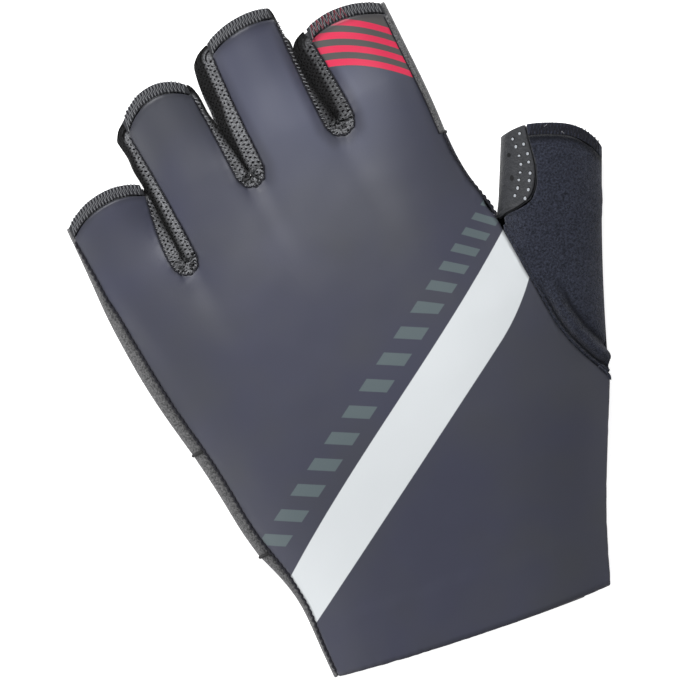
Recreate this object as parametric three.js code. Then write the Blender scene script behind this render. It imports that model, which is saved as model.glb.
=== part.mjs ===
// A fingerless cycling mitt for the left hand, lying palm down, fingers towards +Y and thumb towards +X.
// Every sewn piece is its own closed wall of cloth or leather. The back panel laps over the side pieces, and
// the side pieces stand on the rim of the palm panel, so the hand, the fingers and the thumb stay hollow.
import * as THREE from 'three';

// Driving sizes, in millimetres.
const HAND_WIDTH = 94;
const WRIST_WIDTH = 70;
const PALM_LENGTH = 120;
const FINGER_LENGTH = 37;
const HAND_HEIGHT = 18;
const FINGER_HEIGHT = 13;
const RIM_HEIGHT = 10;
const CROTCH_DIP = 0.6;
const CROTCH_RISE = 3.2;
const CUFF_SLANT = 10.2;
const CUFF_BOW = 1.1;
const SIDE_BULGE = 3;
const WRIST_ROLL = 5.6;
const THUMB_LENGTH = 22.8;
const THUMB_WIDTH = 25.4;
const THUMB_HEIGHT = 14;
const THUMB_SIDE_HEIGHT = 6.3;
const THUMB_CORNER = 5.5;
const THUMB_TAPER = 0.8;
const THUMB_LEAN = THREE.MathUtils.degToRad(27);
const HEM_DEPTH = 2.8;
const TAB_ROUNDING = 3.4;
const PALM_RIM_CURL = 1.2;
// How far up a finger, as a share of its length, its rims come down from the rise beside the crotch.
const RISE_REACH = 0.75;
// The finger ends' rims as a share of RIM_HEIGHT, and how far the palm's edge and the palm's foot reach out
// from the back's edge, as shares of the bulge.
const TIP_RIM = 0.95;
const PALM_REACH = 0.62;
// Where up the hand the single arch begins to part into four fingers, as a share of cuff to crotch.
const PARTING = 0.82;
// How square the arches are across a finger, across the hand and across the thumb.
const FINGER_ARCH = 2.4;
const HAND_ARCH = 3;
const THUMB_ARCH = 2.4;

// Thickness of each cloth, and the space left between sewn pieces.
const BACK_WALL = 1.2;
const HEM_WALL = 1.5;
const PALM_WALL = 1.6;
const MESH_WALL = 1;
const STRIP_WALL = 1;
const FLEECE_WALL = 1.8;
const LEATHER_WALL = 1.2;
const SEAM_GAP = 0.3;

// The hand's outline and height from cuff to crotch: at is the share of PALM_LENGTH, wrist how far the width
// has gone from HAND_WIDTH to WRIST_WIDTH, left and right the panel's edges as shares of that width, bulge the
// share of SIDE_BULGE on the little finger's side, crown the share of HAND_HEIGHT, and leftRim and rightRim
// the heights of the panel's edges as shares of RIM_HEIGHT.
const HAND_ROWS = [
	{ at: -0.043, wrist: 1, left: 0.533, right: 0.447, bulge: 0.3, crown: 0.7, leftRim: 0.82, rightRim: 0.6 },
	{ at: -0.02, wrist: 1, left: 0.532, right: 0.463, bulge: 0.3, crown: 0.71, leftRim: 0.82, rightRim: 0.6 },
	{ at: 0.042, wrist: 0.93, left: 0.519, right: 0.495, bulge: 0.3, crown: 0.74, leftRim: 0.84, rightRim: 0.6 },
	{ at: 0.117, wrist: 0.8, left: 0.492, right: 0.532, bulge: 0.33, crown: 0.79, leftRim: 0.88, rightRim: 0.6 },
	{ at: 0.2, wrist: 0.65, left: 0.458, right: 0.579, bulge: 0.42, crown: 0.85, leftRim: 0.93, rightRim: 0.6 },
	{ at: 0.26, wrist: 0.5, left: 0.445, right: 0.601, bulge: 0.6, crown: 0.9, leftRim: 0.97, rightRim: 0.62 },
	{ at: 0.305, wrist: 0.38, left: 0.445, right: 0.623, bulge: 0.82, crown: 0.93, leftRim: 1, rightRim: 0.64 },
	{ at: 0.335, wrist: 0.3, left: 0.444, right: 0.622, bulge: 0.88, crown: 0.95, leftRim: 1.01, rightRim: 0.68 },
	{ at: 0.367, wrist: 0.25, left: 0.444, right: 0.59, bulge: 0.9, crown: 0.97, leftRim: 1.02, rightRim: 0.82 },
	{ at: 0.392, wrist: 0.2, left: 0.444, right: 0.567, bulge: 0.9, crown: 0.98, leftRim: 1.02, rightRim: 0.98 },
	{ at: 0.458, wrist: 0.1, left: 0.437, right: 0.525, bulge: 0.9, crown: 1, leftRim: 1.03, rightRim: 1.2 },
	{ at: 0.55, wrist: 0, left: 0.436, right: 0.505, bulge: 0.97, crown: 1, leftRim: 1.03, rightRim: 1.28 },
	{ at: 0.66, wrist: 0, left: 0.457, right: 0.5, bulge: 1, crown: 0.98, leftRim: 1.03, rightRim: 1.18 },
	{ at: 0.717, wrist: 0, left: 0.465, right: 0.499, bulge: 1.03, crown: 0.97, leftRim: 1.03, rightRim: 1.05 },
	{ at: 0.75, wrist: 0, left: 0.468, right: 0.497, bulge: 1.07, crown: 0.96, leftRim: 1.02, rightRim: 1.02 },
	{ at: 0.785, wrist: 0, left: 0.47, right: 0.486, bulge: 1.03, crown: 0.94, leftRim: 1.02, rightRim: 1 },
	{ at: 0.825, wrist: 0, left: 0.475, right: 0.475, bulge: 0.95, crown: 0.92, leftRim: 1.01, rightRim: 1 },
	{ at: 0.883, wrist: 0, left: 0.478, right: 0.471, bulge: 0.85, crown: 0.9, leftRim: 1, rightRim: 1 },
	{ at: 1, wrist: 0, left: 0.485, right: 0.48, bulge: 0.65, crown: 0.86, leftRim: 1, rightRim: 1 },
];

// The fingers, from the little finger: left and right are the panel's edges at the crotch and tipLeft and
// tipRight those at the tip, as shares of HAND_WIDTH, and crown is the share of FINGER_HEIGHT.
const FINGERS = [
	{ name: 'pinky', left: -0.481, right: -0.3, tipLeft: -0.488, tipRight: -0.2755, crown: 0.94 },
	{ name: 'ring', left: -0.228, right: -0.049, tipLeft: -0.243, tipRight: -0.055, crown: 1 },
	{ name: 'middle', left: 0.029, right: 0.212, tipLeft: 0.039, tipRight: 0.222, crown: 1.03 },
	{ name: 'index', left: 0.294, right: 0.48, tipLeft: 0.282, tipRight: 0.483, crown: 1 },
];

// Their ends, in the same order: tip is the hem's top past the middle crotch, and skew and droop how it leans
// and how it falls at its corners, all as shares of FINGER_LENGTH.
const FINGER_ENDS = [
	{ tip: 0.39, skew: 0.02, droop: 0.085 },
	{ tip: 0.862, skew: 0.02, droop: 0.11 },
	{ tip: 1, skew: 0.014, droop: 0.045 },
	{ tip: 0.76, skew: -0.033, droop: 0.06 },
];

// The slots between them: bottom is the crotch as a share of PALM_LENGTH, and leftBulge and rightBulge how far
// the gusset stands out at the crotch, half way and at the tip, as shares of SIDE_BULGE.
const SLOTS = [
	{ name: 'pinky_ring', bottom: 0.892, leftBulge: [0.75, 0.7, 0.1], rightBulge: [0.87, 0.97, 1.15] },
	{ name: 'ring_middle', bottom: 0.989, leftBulge: [0.87, 0.5, 0.6], rightBulge: [1, 1.95, 1.8] },
	{ name: 'middle_index', bottom: 1, leftBulge: [0.8, 0.33, 0.25], rightBulge: [1.07, 1.78, 1.6] },
];

// The crotch line left of the little finger and right of the index, as shares of PALM_LENGTH.
const LEFT_CROTCH = 0.885;
const RIGHT_CROTCH = 0.985;
// Where the thumb leaves the hand and where its seam ends at the wrist, as shares of PALM_LENGTH.
const THUMB_CROTCH = 0.717;
const THUMB_FOOT = 0.335;
// Cross seams of the strips beside the little finger and beside the index, as shares of PALM_LENGTH.
const LEFT_SEAMS = [0.568, 0.326];
const RIGHT_SEAM = 0.915;

// The dents of the back: each runs down from a crotch. Across is its place from the slot's middle and width its
// breadth, both as shares of HAND_WIDTH, reach its length as a share of PALM_LENGTH, and depth a share of
// HAND_HEIGHT.
const DENTS = [
	{ slot: 0, across: -0.04, reach: 0.42, width: 0.1, depth: 0.04 },
	{ slot: 1, across: 0, reach: 0.14, width: 0.06, depth: 0.02 },
	{ slot: 2, across: 0, reach: 0.12, width: 0.06, depth: 0.02 },
];

// The leather's edge on top of the thumb: at is the share of THUMB_LENGTH, reach the share of THUMB_WIDTH.
const FLAP_ROWS = [
	{ at: 0, reach: 0.035 },
	{ at: 0.083, reach: 0.141 },
	{ at: 0.127, reach: 0.243 },
	{ at: 0.224, reach: 0.33 },
	{ at: 0.385, reach: 0.367 },
	{ at: 0.58, reach: 0.357 },
	{ at: 0.86, reach: 0.282 },
	{ at: 1, reach: 0.262 },
];

// How many cells each sheet has.
const FINGER_COLUMNS = [-1, -0.75, -0.35, 0, 0.35, 0.75, 1];
const SLOT_CELLS = 4;
const FINGER_CELLS = 5;
const BULGE_CELLS = 3;
const HAND_LEVELS = [0, 0.09, 0.18, 0.27, 0.362, 0.41, 0.45, 0.5, 0.56, 0.63, 0.7, 0.77, 0.84, 0.9, 0.955, 1];
const FOOT_LEVEL = 4;
const THUMB_LOW_LEVELS = [0.02, 0.07, 0.14, 0.24, 0.36, 0.5, 0.65, 0.8, 0.92];
const THUMB_RING_LEVELS = [0, 0.06, 0.12, 0.2, 0.3, 0.45, 0.62, 0.8, 1];

const lerp = THREE.MathUtils.lerp;
const smoothstep = THREE.MathUtils.smoothstep;
const range = (count) => Array.from({ length: count + 1 }, (_, i) => i / count);

// The value of a table's column at a place between its rows, on a smooth curve through them.
function tableValue(table, column, at) {
	const last = table.length - 1;
	const clamped = THREE.MathUtils.clamp(at, table[0].at, table[last].at);
	let i = 0;
	while (i < last - 1 && clamped > table[i + 1].at) i += 1;
	const slope = (k) => {
		const before = table[Math.max(k - 1, 0)];
		const after = table[Math.min(k + 1, last)];
		return (after[column] - before[column]) / (after.at - before.at);
	};
	const span = table[i + 1].at - table[i].at;
	const t = (clamped - table[i].at) / span;
	const t2 = t * t;
	const t3 = t2 * t;
	return (2 * t3 - 3 * t2 + 1) * table[i][column] + (t3 - 2 * t2 + t) * span * slope(i)
		+ (3 * t2 - 2 * t3) * table[i + 1][column] + (t3 - t2) * span * slope(i + 1);
}

// The hand's edges, rims and crown at a height y above the cuff.
function handRow(y) {
	const at = y / PALM_LENGTH;
	const value = (column) => tableValue(HAND_ROWS, column, at);
	const width = lerp(HAND_WIDTH, WRIST_WIDTH, value('wrist'));
	return {
		left: -width * value('left'),
		right: width * value('right'),
		bulge: SIDE_BULGE * value('bulge'),
		crown: HAND_HEIGHT * value('crown'),
		leftRim: RIM_HEIGHT * value('leftRim'),
		rightRim: RIM_HEIGHT * value('rightRim'),
	};
}

// The cuff's edge: a slanted line with a slight bow.
function cuffY(x) {
	const share = x / WRIST_WIDTH;
	return -CUFF_SLANT * share - CUFF_BOW * (1 - 4 * share * share);
}

// A finger's panel edge at a share of the way from crotch to tip. It flares only near the tip.
function fingerEdge(finger, side, along) {
	const base = side < 0 ? finger.left : finger.right;
	const tip = side < 0 ? finger.tipLeft : finger.tipRight;
	return HAND_WIDTH * lerp(base, tip, along * along);
}

// The hem's outer edge across a finger, across running from -1 to 1.
function tipY(k, across) {
	const end = FINGER_ENDS[k];
	const fall = end.droop * Math.abs(across) ** 2.5;
	return PALM_LENGTH + FINGER_LENGTH * (end.tip + end.skew * across - fall);
}

function slotRadius(k) {
	return (fingerEdge(FINGERS[k + 1], -1, 0) - fingerEdge(FINGERS[k], 1, 0)) / 2;
}

function slotMiddle(k) {
	return (fingerEdge(FINGERS[k + 1], -1, 0) + fingerEdge(FINGERS[k], 1, 0)) / 2;
}

// Where a finger's lane begins: the crotch line at its left (-1) or right (1) edge.
function laneStart(k, side) {
	if (k === 0 && side < 0) return PALM_LENGTH * LEFT_CROTCH;
	if (k === FINGERS.length - 1 && side > 0) return PALM_LENGTH * RIGHT_CROTCH;
	const slot = side < 0 ? k - 1 : k;
	return PALM_LENGTH * SLOTS[slot].bottom + slotRadius(slot);
}

function laneY(k, across, along, margin) {
	const start = lerp(laneStart(k, -1), laneStart(k, 1), (across + 1) / 2);
	return lerp(start, tipY(k, across) - margin, along);
}

function laneX(k, across, along) {
	return lerp(fingerEdge(FINGERS[k], -1, along), fingerEdge(FINGERS[k], 1, along), (across + 1) / 2);
}

// The height of a finger's left (-1) or right (1) rim. It rises towards a crotch between two fingers.
function fingerRim(k, side, along) {
	const outermost = side < 0 ? k === 0 : k === FINGERS.length - 1;
	const rise = outermost ? 0 : CROTCH_RISE * (1 - smoothstep(along, 0, RISE_REACH));
	return RIM_HEIGHT * lerp(1, TIP_RIM, along) + rise;
}

// The height of the rim round a crotch, where turn runs from 0 at its left end to 1 at its right.
function crotchRim(turn) {
	return RIM_HEIGHT + CROTCH_RISE - CROTCH_DIP * Math.sin(Math.PI * turn);
}

// The back's height over a finger: an arch between two rims.
function fingerTop(k, across, along) {
	const crown = FINGER_HEIGHT * FINGERS[k].crown * (1 + 0.08 * (1 - smoothstep(along, 0, 0.6)));
	const rim = fingerRim(k, Math.sign(across), along);
	return crown - (crown - rim) * Math.abs(across) ** FINGER_ARCH;
}

// The back's height over the hand: an arch whose sides fall to the rims.
function handTop(x, y) {
	const row = handRow(y);
	const middle = (row.left + row.right) / 2;
	const across = (x - middle) / ((row.right - row.left) / 2);
	const rim = across < 0 ? row.leftRim : row.rightRim;
	return row.crown - (row.crown - rim) * Math.abs(across) ** HAND_ARCH;
}

// The columns of a sheet that spans the hand. A finger's columns run on from the hand to its tip, and a
// slot's columns end at the crotch, on a half circle.
function handColumns(shares) {
	const columns = [];
	FINGERS.forEach((finger, k) => {
		shares.forEach((across) => {
			columns.push({ finger: k, across, x: laneX(k, across, 0), top: laneY(k, across, 0, 0) });
		});
		if (k < SLOTS.length) {
			range(SLOT_CELLS).slice(1, -1).forEach((turn) => {
				const radius = slotRadius(k);
				columns.push({
					slot: k,
					turn,
					x: slotMiddle(k) - radius * Math.cos(Math.PI * turn),
					top: PALM_LENGTH * SLOTS[k].bottom + radius * (1 - Math.sin(Math.PI * turn)),
				});
			});
		}
	});
	return columns;
}

// A closed wall: the cells of a grid of points, given a thickness inwards. The inner points are either
// given or lie behind the outer ones along the mean normal of the cells that meet there.
function wall({ rows, columns, outer, inner = null, thickness = () => 0, keep = () => true }) {
	const nodes = new Map();
	const key = (i, j) => i * (columns + 1) + j;
	const node = (i, j) => {
		if (!nodes.has(key(i, j))) {
			const point = outer(i, j);
			nodes.set(key(i, j), { i, j, point, normal: new THREE.Vector3() });
		}
		return nodes.get(key(i, j));
	};
	const cells = [];
	for (let i = 0; i < rows; i += 1) {
		for (let j = 0; j < columns; j += 1) {
			if (keep(i, j)) {
				const corners = [node(i, j), node(i, j + 1), node(i + 1, j + 1), node(i + 1, j)];
				const one = corners[2].point.clone().sub(corners[0].point);
				const other = corners[3].point.clone().sub(corners[1].point);
				const normal = one.cross(other);
				corners.forEach((corner) => corner.normal.add(normal));
				cells.push({ i, j, corners });
			}
		}
	}
	const positions = [];
	const store = (point) => positions.push(point.x, point.y, point.z) / 3 - 1;
	nodes.forEach((entry) => {
		entry.front = store(entry.point);
		const behind = inner
			? inner(entry.i, entry.j)
			: entry.point.clone().addScaledVector(entry.normal.normalize(), -thickness(entry.i, entry.j));
		entry.back = store(behind);
	});
	const triangles = [];
	const quad = (a, b, c, d) => triangles.push(a, b, c, a, c, d);
	cells.forEach(({ i, j, corners: [a, b, c, d] }) => {
		quad(a.front, b.front, c.front, d.front);
		quad(a.back, d.back, c.back, b.back);
		const kept = (row, column) => row >= 0 && row < rows && column >= 0 && column < columns && keep(row, column);
		if (!kept(i - 1, j)) quad(a.front, a.back, b.back, b.front);
		if (!kept(i, j + 1)) quad(b.front, b.back, c.back, c.front);
		if (!kept(i + 1, j)) quad(c.front, c.back, d.back, d.front);
		if (!kept(i, j - 1)) quad(d.front, d.back, a.back, a.front);
	});
	const geometry = new THREE.BufferGeometry();
	geometry.setAttribute('position', new THREE.Float32BufferAttribute(positions, 3));
	geometry.setIndex(volume(positions, triangles) < 0 ? triangles.reverse() : triangles);
	geometry.computeVertexNormals();
	return geometry;
}

function volume(positions, triangles) {
	const corner = (k) => new THREE.Vector3().fromArray(positions, 3 * triangles[k]);
	let total = 0;
	for (let k = 0; k < triangles.length; k += 3) {
		total += corner(k).dot(corner(k + 1).cross(corner(k + 2)));
	}
	return total;
}

const glove = new THREE.Group();

function addPiece(name, geometry, { color, roughness }) {
	const mesh = new THREE.Mesh(geometry, new THREE.MeshStandardMaterial({ color, roughness, metalness: 0 }));
	mesh.name = name;
	glove.add(mesh);
}

const STRETCH = { color: 0x565762, roughness: 0.75 };
const KNIT = { color: 0x6c6c70, roughness: 0.9 };
const HEATHER = { color: 0x565757, roughness: 0.95 };
const FLEECE = { color: 0x2d2f39, roughness: 0.95 };
const SUEDE = { color: 0x44474b, roughness: 0.8 };
const HEM = { color: 0x55565c, roughness: 0.9 };

// How far the back is dented at a place on the hand.
function dentDepth(x, y) {
	return DENTS.reduce((total, dent) => {
		const below = (PALM_LENGTH * SLOTS[dent.slot].bottom - y) / (PALM_LENGTH * dent.reach);
		if (below <= 0 || below >= 1) return total;
		const off = (x - slotMiddle(dent.slot) - HAND_WIDTH * dent.across) / (HAND_WIDTH * dent.width);
		return total + HAND_HEIGHT * dent.depth * Math.sin(Math.PI * below) * Math.exp(-off * off);
	}, 0);
}

// The back panel: one piece from cuff to fingers. Its right edge is the thumb's seam, and below the thumb it
// rolls round the wrist to the palm side.
const ROLL_CELLS = 3;

// How far the rolled edge climbs on its way under the wrist. It meets the thumb's leather on a slant.
function rollRise(y) {
	const share = THREE.MathUtils.clamp(y / (PALM_LENGTH * THUMB_FOOT), 0, 1);
	return WRIST_ROLL * Math.tan(THUMB_LEAN) * share * share;
}

function backPanel() {
	const columns = handColumns(FINGER_COLUMNS);
	const lastColumn = columns.length - 1;
	const handRows = HAND_LEVELS.length - 1;
	const edge = handRow(PALM_LENGTH);
	const outer = (i, j) => {
		const column = columns[Math.min(j, lastColumn)];
		if (i > handRows) {
			const along = (i - handRows) / FINGER_CELLS;
			const k = column.finger;
			const margin = HEM_DEPTH + SEAM_GAP;
			const x = laneX(k, column.across, along);
			return new THREE.Vector3(x, laneY(k, column.across, along, margin), fingerTop(k, column.across, along));
		}
		const level = HAND_LEVELS[i];
		const share = (column.x - edge.left) / (edge.right - edge.left);
		const cuff = cuffY(lerp(-WRIST_WIDTH / 2, WRIST_WIDTH / 2, share));
		const y = lerp(cuff, column.top, level);
		const row = handRow(y);
		const x = lerp(row.left, row.right, share);
		const flat = handTop(x, y);
		const fingered = column.slot === undefined
			? fingerTop(column.finger, column.across, 0)
			: crotchRim(column.turn);
		const z = lerp(flat, fingered, smoothstep(level, PARTING, 1)) - dentDepth(x, y);
		if (j <= lastColumn) return new THREE.Vector3(x, y, z);
		const angle = (Math.PI / 2) * ((j - lastColumn) / ROLL_CELLS);
		const inward = WRIST_ROLL * (1 - Math.cos(angle));
		const rise = rollRise(y) * (1 - Math.cos(angle));
		return new THREE.Vector3(x - inward, y + rise, z - (z - SEAM_GAP) * Math.sin(angle));
	};
	const keep = (i, j) => {
		if (j >= lastColumn) return i < FOOT_LEVEL;
		const slotted = columns[j].slot !== undefined || columns[j + 1].slot !== undefined;
		return i < handRows || !slotted;
	};
	return wall({
		rows: handRows + FINGER_CELLS,
		columns: lastColumn + ROLL_CELLS,
		outer,
		thickness: () => BACK_WALL,
		keep,
	});
}

addPiece('back_panel', backPanel(), STRETCH);

// The cross-section of a side piece: from under the back's rim, out to its widest point and in again on the
// palm's rim. It lies on its side like a letter C. The depth shrinks it to give the wall's inner face.
function bulgeProfile(bulge, rim, depth, part) {
	const top = rim - BACK_WALL - SEAM_GAP;
	const bottom = PALM_RIM_CURL + PALM_WALL + SEAM_GAP;
	const middle = (top + bottom) / 2;
	const foot = bulge * PALM_REACH * 0.5;
	if (part <= 0.5) {
		const angle = Math.PI * part;
		return {
			out: (bulge - depth) * Math.sin(angle),
			z: middle + (top - depth - middle) * Math.cos(angle),
		};
	}
	const angle = Math.PI * (part - 0.5);
	return {
		out: foot + (bulge - depth - foot) * Math.cos(angle),
		z: middle - (middle - bottom - depth) * Math.sin(angle),
	};
}

// A value at the crotch, half way and at the tip of a slot, on a smooth curve.
function threePoint([start, middle, end], along) {
	return start + (4 * middle - 3 * start - end) * along + 2 * (start + end - 2 * middle) * along * along;
}

// A place on a slot's side: part runs from the left finger's tip, round the crotch, to the right finger's
// tip. The reach is the distance out from the back's edge, as a share of the bulge.
function slotPlace(k, part, reachOf, thin = 0) {
	const slot = SLOTS[k];
	const radius = slotRadius(k);
	const leftBulge = (along) => SIDE_BULGE * threePoint(slot.leftBulge, along);
	const rightBulge = (along) => SIDE_BULGE * threePoint(slot.rightBulge, along);
	if (part >= 0 && part <= 1) {
		const angle = Math.PI * part;
		const bulge = lerp(leftBulge(0), rightBulge(0), part);
		const out = radius - reachOf(bulge, crotchRim(part));
		return {
			x: slotMiddle(k) - out * Math.cos(angle),
			y: PALM_LENGTH * slot.bottom + radius - out * Math.sin(angle) + thin,
		};
	}
	const side = part < 0 ? -1 : 1;
	const along = part < 0 ? -part : part - 1;
	const finger = part < 0 ? k : k + 1;
	const bulge = part < 0 ? leftBulge(along) : rightBulge(along);
	const rim = fingerRim(finger, -side, along);
	return {
		x: fingerEdge(FINGERS[finger], -side, along) - side * reachOf(bulge, rim),
		y: laneY(finger, -side, along, 0) - TAB_ROUNDING * (reachOf(bulge, rim) / bulge) ** 2 * along ** 3,
	};
}

// The gusset between two fingers: a knit band down one finger, round the crotch and up the next.
function fourchette(k) {
	const places = [
		...range(FINGER_CELLS).map((t) => t - 1).slice(0, -1),
		...range(2 * SLOT_CELLS),
		...range(FINGER_CELLS).map((t) => t + 1).slice(1),
	];
	const parts = range(2 * BULGE_CELLS);
	const point = (depth) => (i, j) => {
		let height = 0;
		const place = slotPlace(k, places[i], (bulge, rim) => {
			const profile = bulgeProfile(bulge, rim, depth, parts[j]);
			height = profile.z;
			return profile.out;
		});
		return new THREE.Vector3(place.x, place.y, height);
	};
	return wall({
		rows: places.length - 1,
		columns: parts.length - 1,
		outer: point(0),
		inner: point(MESH_WALL),
	});
}

SLOTS.forEach((slot, k) => addPiece(`fourchette_${slot.name}`, fourchette(k), KNIT));

// A place on the back panel's left (-1) or right (1) edge, from the cuff up past the crotch to the tip.
function sidePlace(side, y) {
	const k = side < 0 ? 0 : FINGERS.length - 1;
	const start = laneStart(k, side);
	const row = handRow(Math.min(y, start));
	if (y <= start) {
		return { x: side < 0 ? row.left : row.right, rim: side < 0 ? row.leftRim : row.rightRim };
	}
	const along = (y - start) / (tipY(k, side) - start);
	return { x: fingerEdge(FINGERS[k], side, along), rim: RIM_HEIGHT * lerp(1, TIP_RIM, along) };
}

// The bulge of the strip beside the index, from the thumb's crotch to the tip, and of the strip's narrow
// end at the little finger's tip, as shares of SIDE_BULGE.
const INDEX_BULGE = [0.15, 0.36, 0.38];
const PINKY_TIP_BULGE = 0.25;

function sideBulge(side, y) {
	if (side > 0) {
		const start = PALM_LENGTH * THUMB_CROTCH;
		const along = (y - start) / (tipY(3, 1) - start);
		return SIDE_BULGE * threePoint(INDEX_BULGE, along);
	}
	const start = laneStart(0, -1);
	const along = THREE.MathUtils.clamp((y - start) / (tipY(0, -1) - start), 0, 1);
	return lerp(handRow(Math.min(y, start)).bulge, SIDE_BULGE * PINKY_TIP_BULGE, along);
}

// A strip along the hand's side, between two cross seams.
function sideStrip(side, from, to, cells) {
	const parts = range(2 * BULGE_CELLS);
	const point = (depth) => (i, j) => {
		const y = lerp(from, to, i / cells);
		const place = sidePlace(side, y);
		const profile = bulgeProfile(sideBulge(side, y), place.rim, depth, parts[j]);
		return new THREE.Vector3(place.x + side * profile.out, y, profile.z);
	};
	return wall({ rows: cells, columns: parts.length - 1, outer: point(0), inner: point(STRIP_WALL) });
}

const LEFT_CUFF = cuffY(-WRIST_WIDTH / 2);
const PINKY_TIP = tipY(0, -1);
const LEFT_CROSS = LEFT_SEAMS.map((share) => share * PALM_LENGTH);
const LEFT_STRIPS = [
	{ name: 'side_strip_upper', from: LEFT_CROSS[0] + SEAM_GAP, to: PINKY_TIP, cells: 8 },
	{ name: 'side_strip_middle', from: LEFT_CROSS[1] + SEAM_GAP, to: LEFT_CROSS[0], cells: 4 },
	{ name: 'side_strip_lower', from: LEFT_CUFF, to: LEFT_CROSS[1], cells: 5 },
];
LEFT_STRIPS.forEach(({ name, from, to, cells }) => addPiece(name, sideStrip(-1, from, to, cells), HEATHER));

const THUMB_CROTCH_Y = PALM_LENGTH * THUMB_CROTCH;
const RIGHT_CROSS = PALM_LENGTH * RIGHT_SEAM;
const INDEX_TIP = tipY(3, 1);
addPiece('index_side_upper', sideStrip(1, RIGHT_CROSS + SEAM_GAP, INDEX_TIP, 5), HEATHER);
addPiece('index_side_lower', sideStrip(1, THUMB_CROTCH_Y + 4 * SEAM_GAP, RIGHT_CROSS, 4), FLEECE);

// The thumb's own frame: its origin at the thumb's crotch, forward along the thumb and sideways to its right.
const crotchRow = handRow(THUMB_CROTCH_Y);
const FORWARD = { x: Math.sin(THUMB_LEAN), y: Math.cos(THUMB_LEAN) };

function toHand(forward, sideways, z) {
	return new THREE.Vector3(
		crotchRow.right + forward * FORWARD.x + sideways * FORWARD.y,
		THUMB_CROTCH_Y + forward * FORWARD.y - sideways * FORWARD.x,
		z,
	);
}

// The thumb frame's place on the back panel's right edge, moved in by an inset, at a height y.
function seamPlace(y, inset) {
	const dx = handRow(y).right - inset - crotchRow.right;
	const dy = y - THUMB_CROTCH_Y;
	return { forward: dx * FORWARD.x + dy * FORWARD.y, sideways: dx * FORWARD.y - dy * FORWARD.x };
}

// The same edge where it lies a given distance forward of the crotch, found by halving.
function seamAt(forward, insetOf) {
	let low = PALM_LENGTH * THUMB_FOOT * 0.8;
	let high = THUMB_CROTCH_Y;
	for (let step = 0; step < 30; step += 1) {
		const middle = (low + high) / 2;
		if (seamPlace(middle, insetOf(middle)).forward < forward) low = middle;
		else high = middle;
	}
	return { y: low, sideways: seamPlace(low, insetOf(low)).sideways };
}

const FOOT = seamPlace(PALM_LENGTH * THUMB_FOOT, 0);

// The thumb's right outline at a distance forward of its crotch.
function thumbRight(forward) {
	if (forward >= 0) return THUMB_WIDTH;
	return lerp(THUMB_WIDTH, FOOT.sideways, (forward / FOOT.forward) ** 1.8);
}

// The mouth's edge across the thumb, across running from -1 to 1.
function thumbMouth(across) {
	const fall = across < 0 ? 0.15 : 0.25;
	return THUMB_LENGTH * (1 - fall * Math.abs(across) ** 3);
}

function thumbArch(across) {
	const side = Math.min(Math.abs(across), 1);
	return THUMB_SIDE_HEIGHT + (THUMB_HEIGHT - THUMB_SIDE_HEIGHT) * (1 - side ** THUMB_ARCH) ** (1 / THUMB_ARCH);
}

// The thumb's left outline leans in a little towards the mouth.
function thumbLeft(forward) {
	return THUMB_TAPER * THREE.MathUtils.clamp(forward / THUMB_LENGTH, 0, 1);
}

function thumbAcross(forward, sideways) {
	const half = (THUMB_WIDTH - thumbLeft(forward)) / 2;
	return 1 - (thumbRight(forward) - sideways) / half;
}

// The leather's edge on top of the thumb, moved outwards or back by an offset both ways.
function flapEdge(forward, offset) {
	return THUMB_WIDTH * tableValue(FLAP_ROWS, 'reach', (forward + offset) / THUMB_LENGTH) + offset;
}

// The thumb's back: fleece between the back panel's edge, or the leather's, and the thumb's right outline.
const THUMB_COLUMNS = [0, 0.15, 0.35, 0.55, 0.75, 0.9, 0.975, 1];
const thumbLevels = [...THUMB_LOW_LEVELS.map((level) => level - 1), ...THUMB_RING_LEVELS];

function thumbBackPoint(level, part, margin) {
	let forward = level < 0 ? -level * FOOT.forward : level * THUMB_LENGTH;
	let left = 0;
	let height = 0;
	if (level < 0) {
		const seam = seamAt(forward, () => -1.5 * SEAM_GAP);
		left = seam.sideways;
		height = handRow(seam.y).rightRim - 2 * SEAM_GAP;
	} else {
		left = flapEdge(level * (THUMB_LENGTH - margin), SEAM_GAP);
		height = crotchRow.rightRim - 2 * SEAM_GAP;
	}
	const right = thumbRight(forward);
	const sideways = lerp(left, right, part);
	const across = thumbAcross(forward, sideways);
	if (level > 0) forward = level * (thumbMouth(across) - margin);
	const fullness = 1.4 * Math.min(1, -Math.min(level, 0) * 4) * (1 + Math.min(level, 0));
	const open = THUMB_SIDE_HEIGHT
		+ (height + fullness * 4 * part * (1 - part) - THUMB_SIDE_HEIGHT) * (1 - part ** 2.6) ** (1 / 2.6);
	const z = lerp(open, Math.max(open, thumbArch(across)), smoothstep(level, -0.55, 0.1));
	return toHand(forward, sideways, z);
}

// The fleece is pared down where it runs out between the two seams at the wrist.
const FOOT_TAPER = 0.35;

function thumbBackWidth(level) {
	if (level >= 0) return THUMB_WIDTH;
	const forward = -level * FOOT.forward;
	return thumbRight(forward) - seamAt(forward, () => 0).sideways;
}

function thumbBack() {
	return wall({
		rows: thumbLevels.length - 1,
		columns: THUMB_COLUMNS.length - 1,
		outer: (i, j) => thumbBackPoint(thumbLevels[i], THUMB_COLUMNS[j], HEM_DEPTH + SEAM_GAP),
		thickness: (i) => Math.min(FLEECE_WALL, FOOT_TAPER * thumbBackWidth(thumbLevels[i])),
	});
}

addPiece('thumb_back', thumbBack(), FLEECE);

// The palm's edge on the thumb's side lies just inside the back's edge, and further in at the wrist, where
// the back panel rolls under.
function palmInset(y) {
	const foot = PALM_LENGTH * THUMB_FOOT;
	const below = Math.min(y, foot);
	const slant = handRow(below).right - handRow(below - rollRise(below)).right;
	const rolled = WRIST_ROLL + slant + 3 * SEAM_GAP;
	return lerp(rolled, 1, smoothstep(y, foot, foot + 0.06 * PALM_LENGTH));
}

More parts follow.
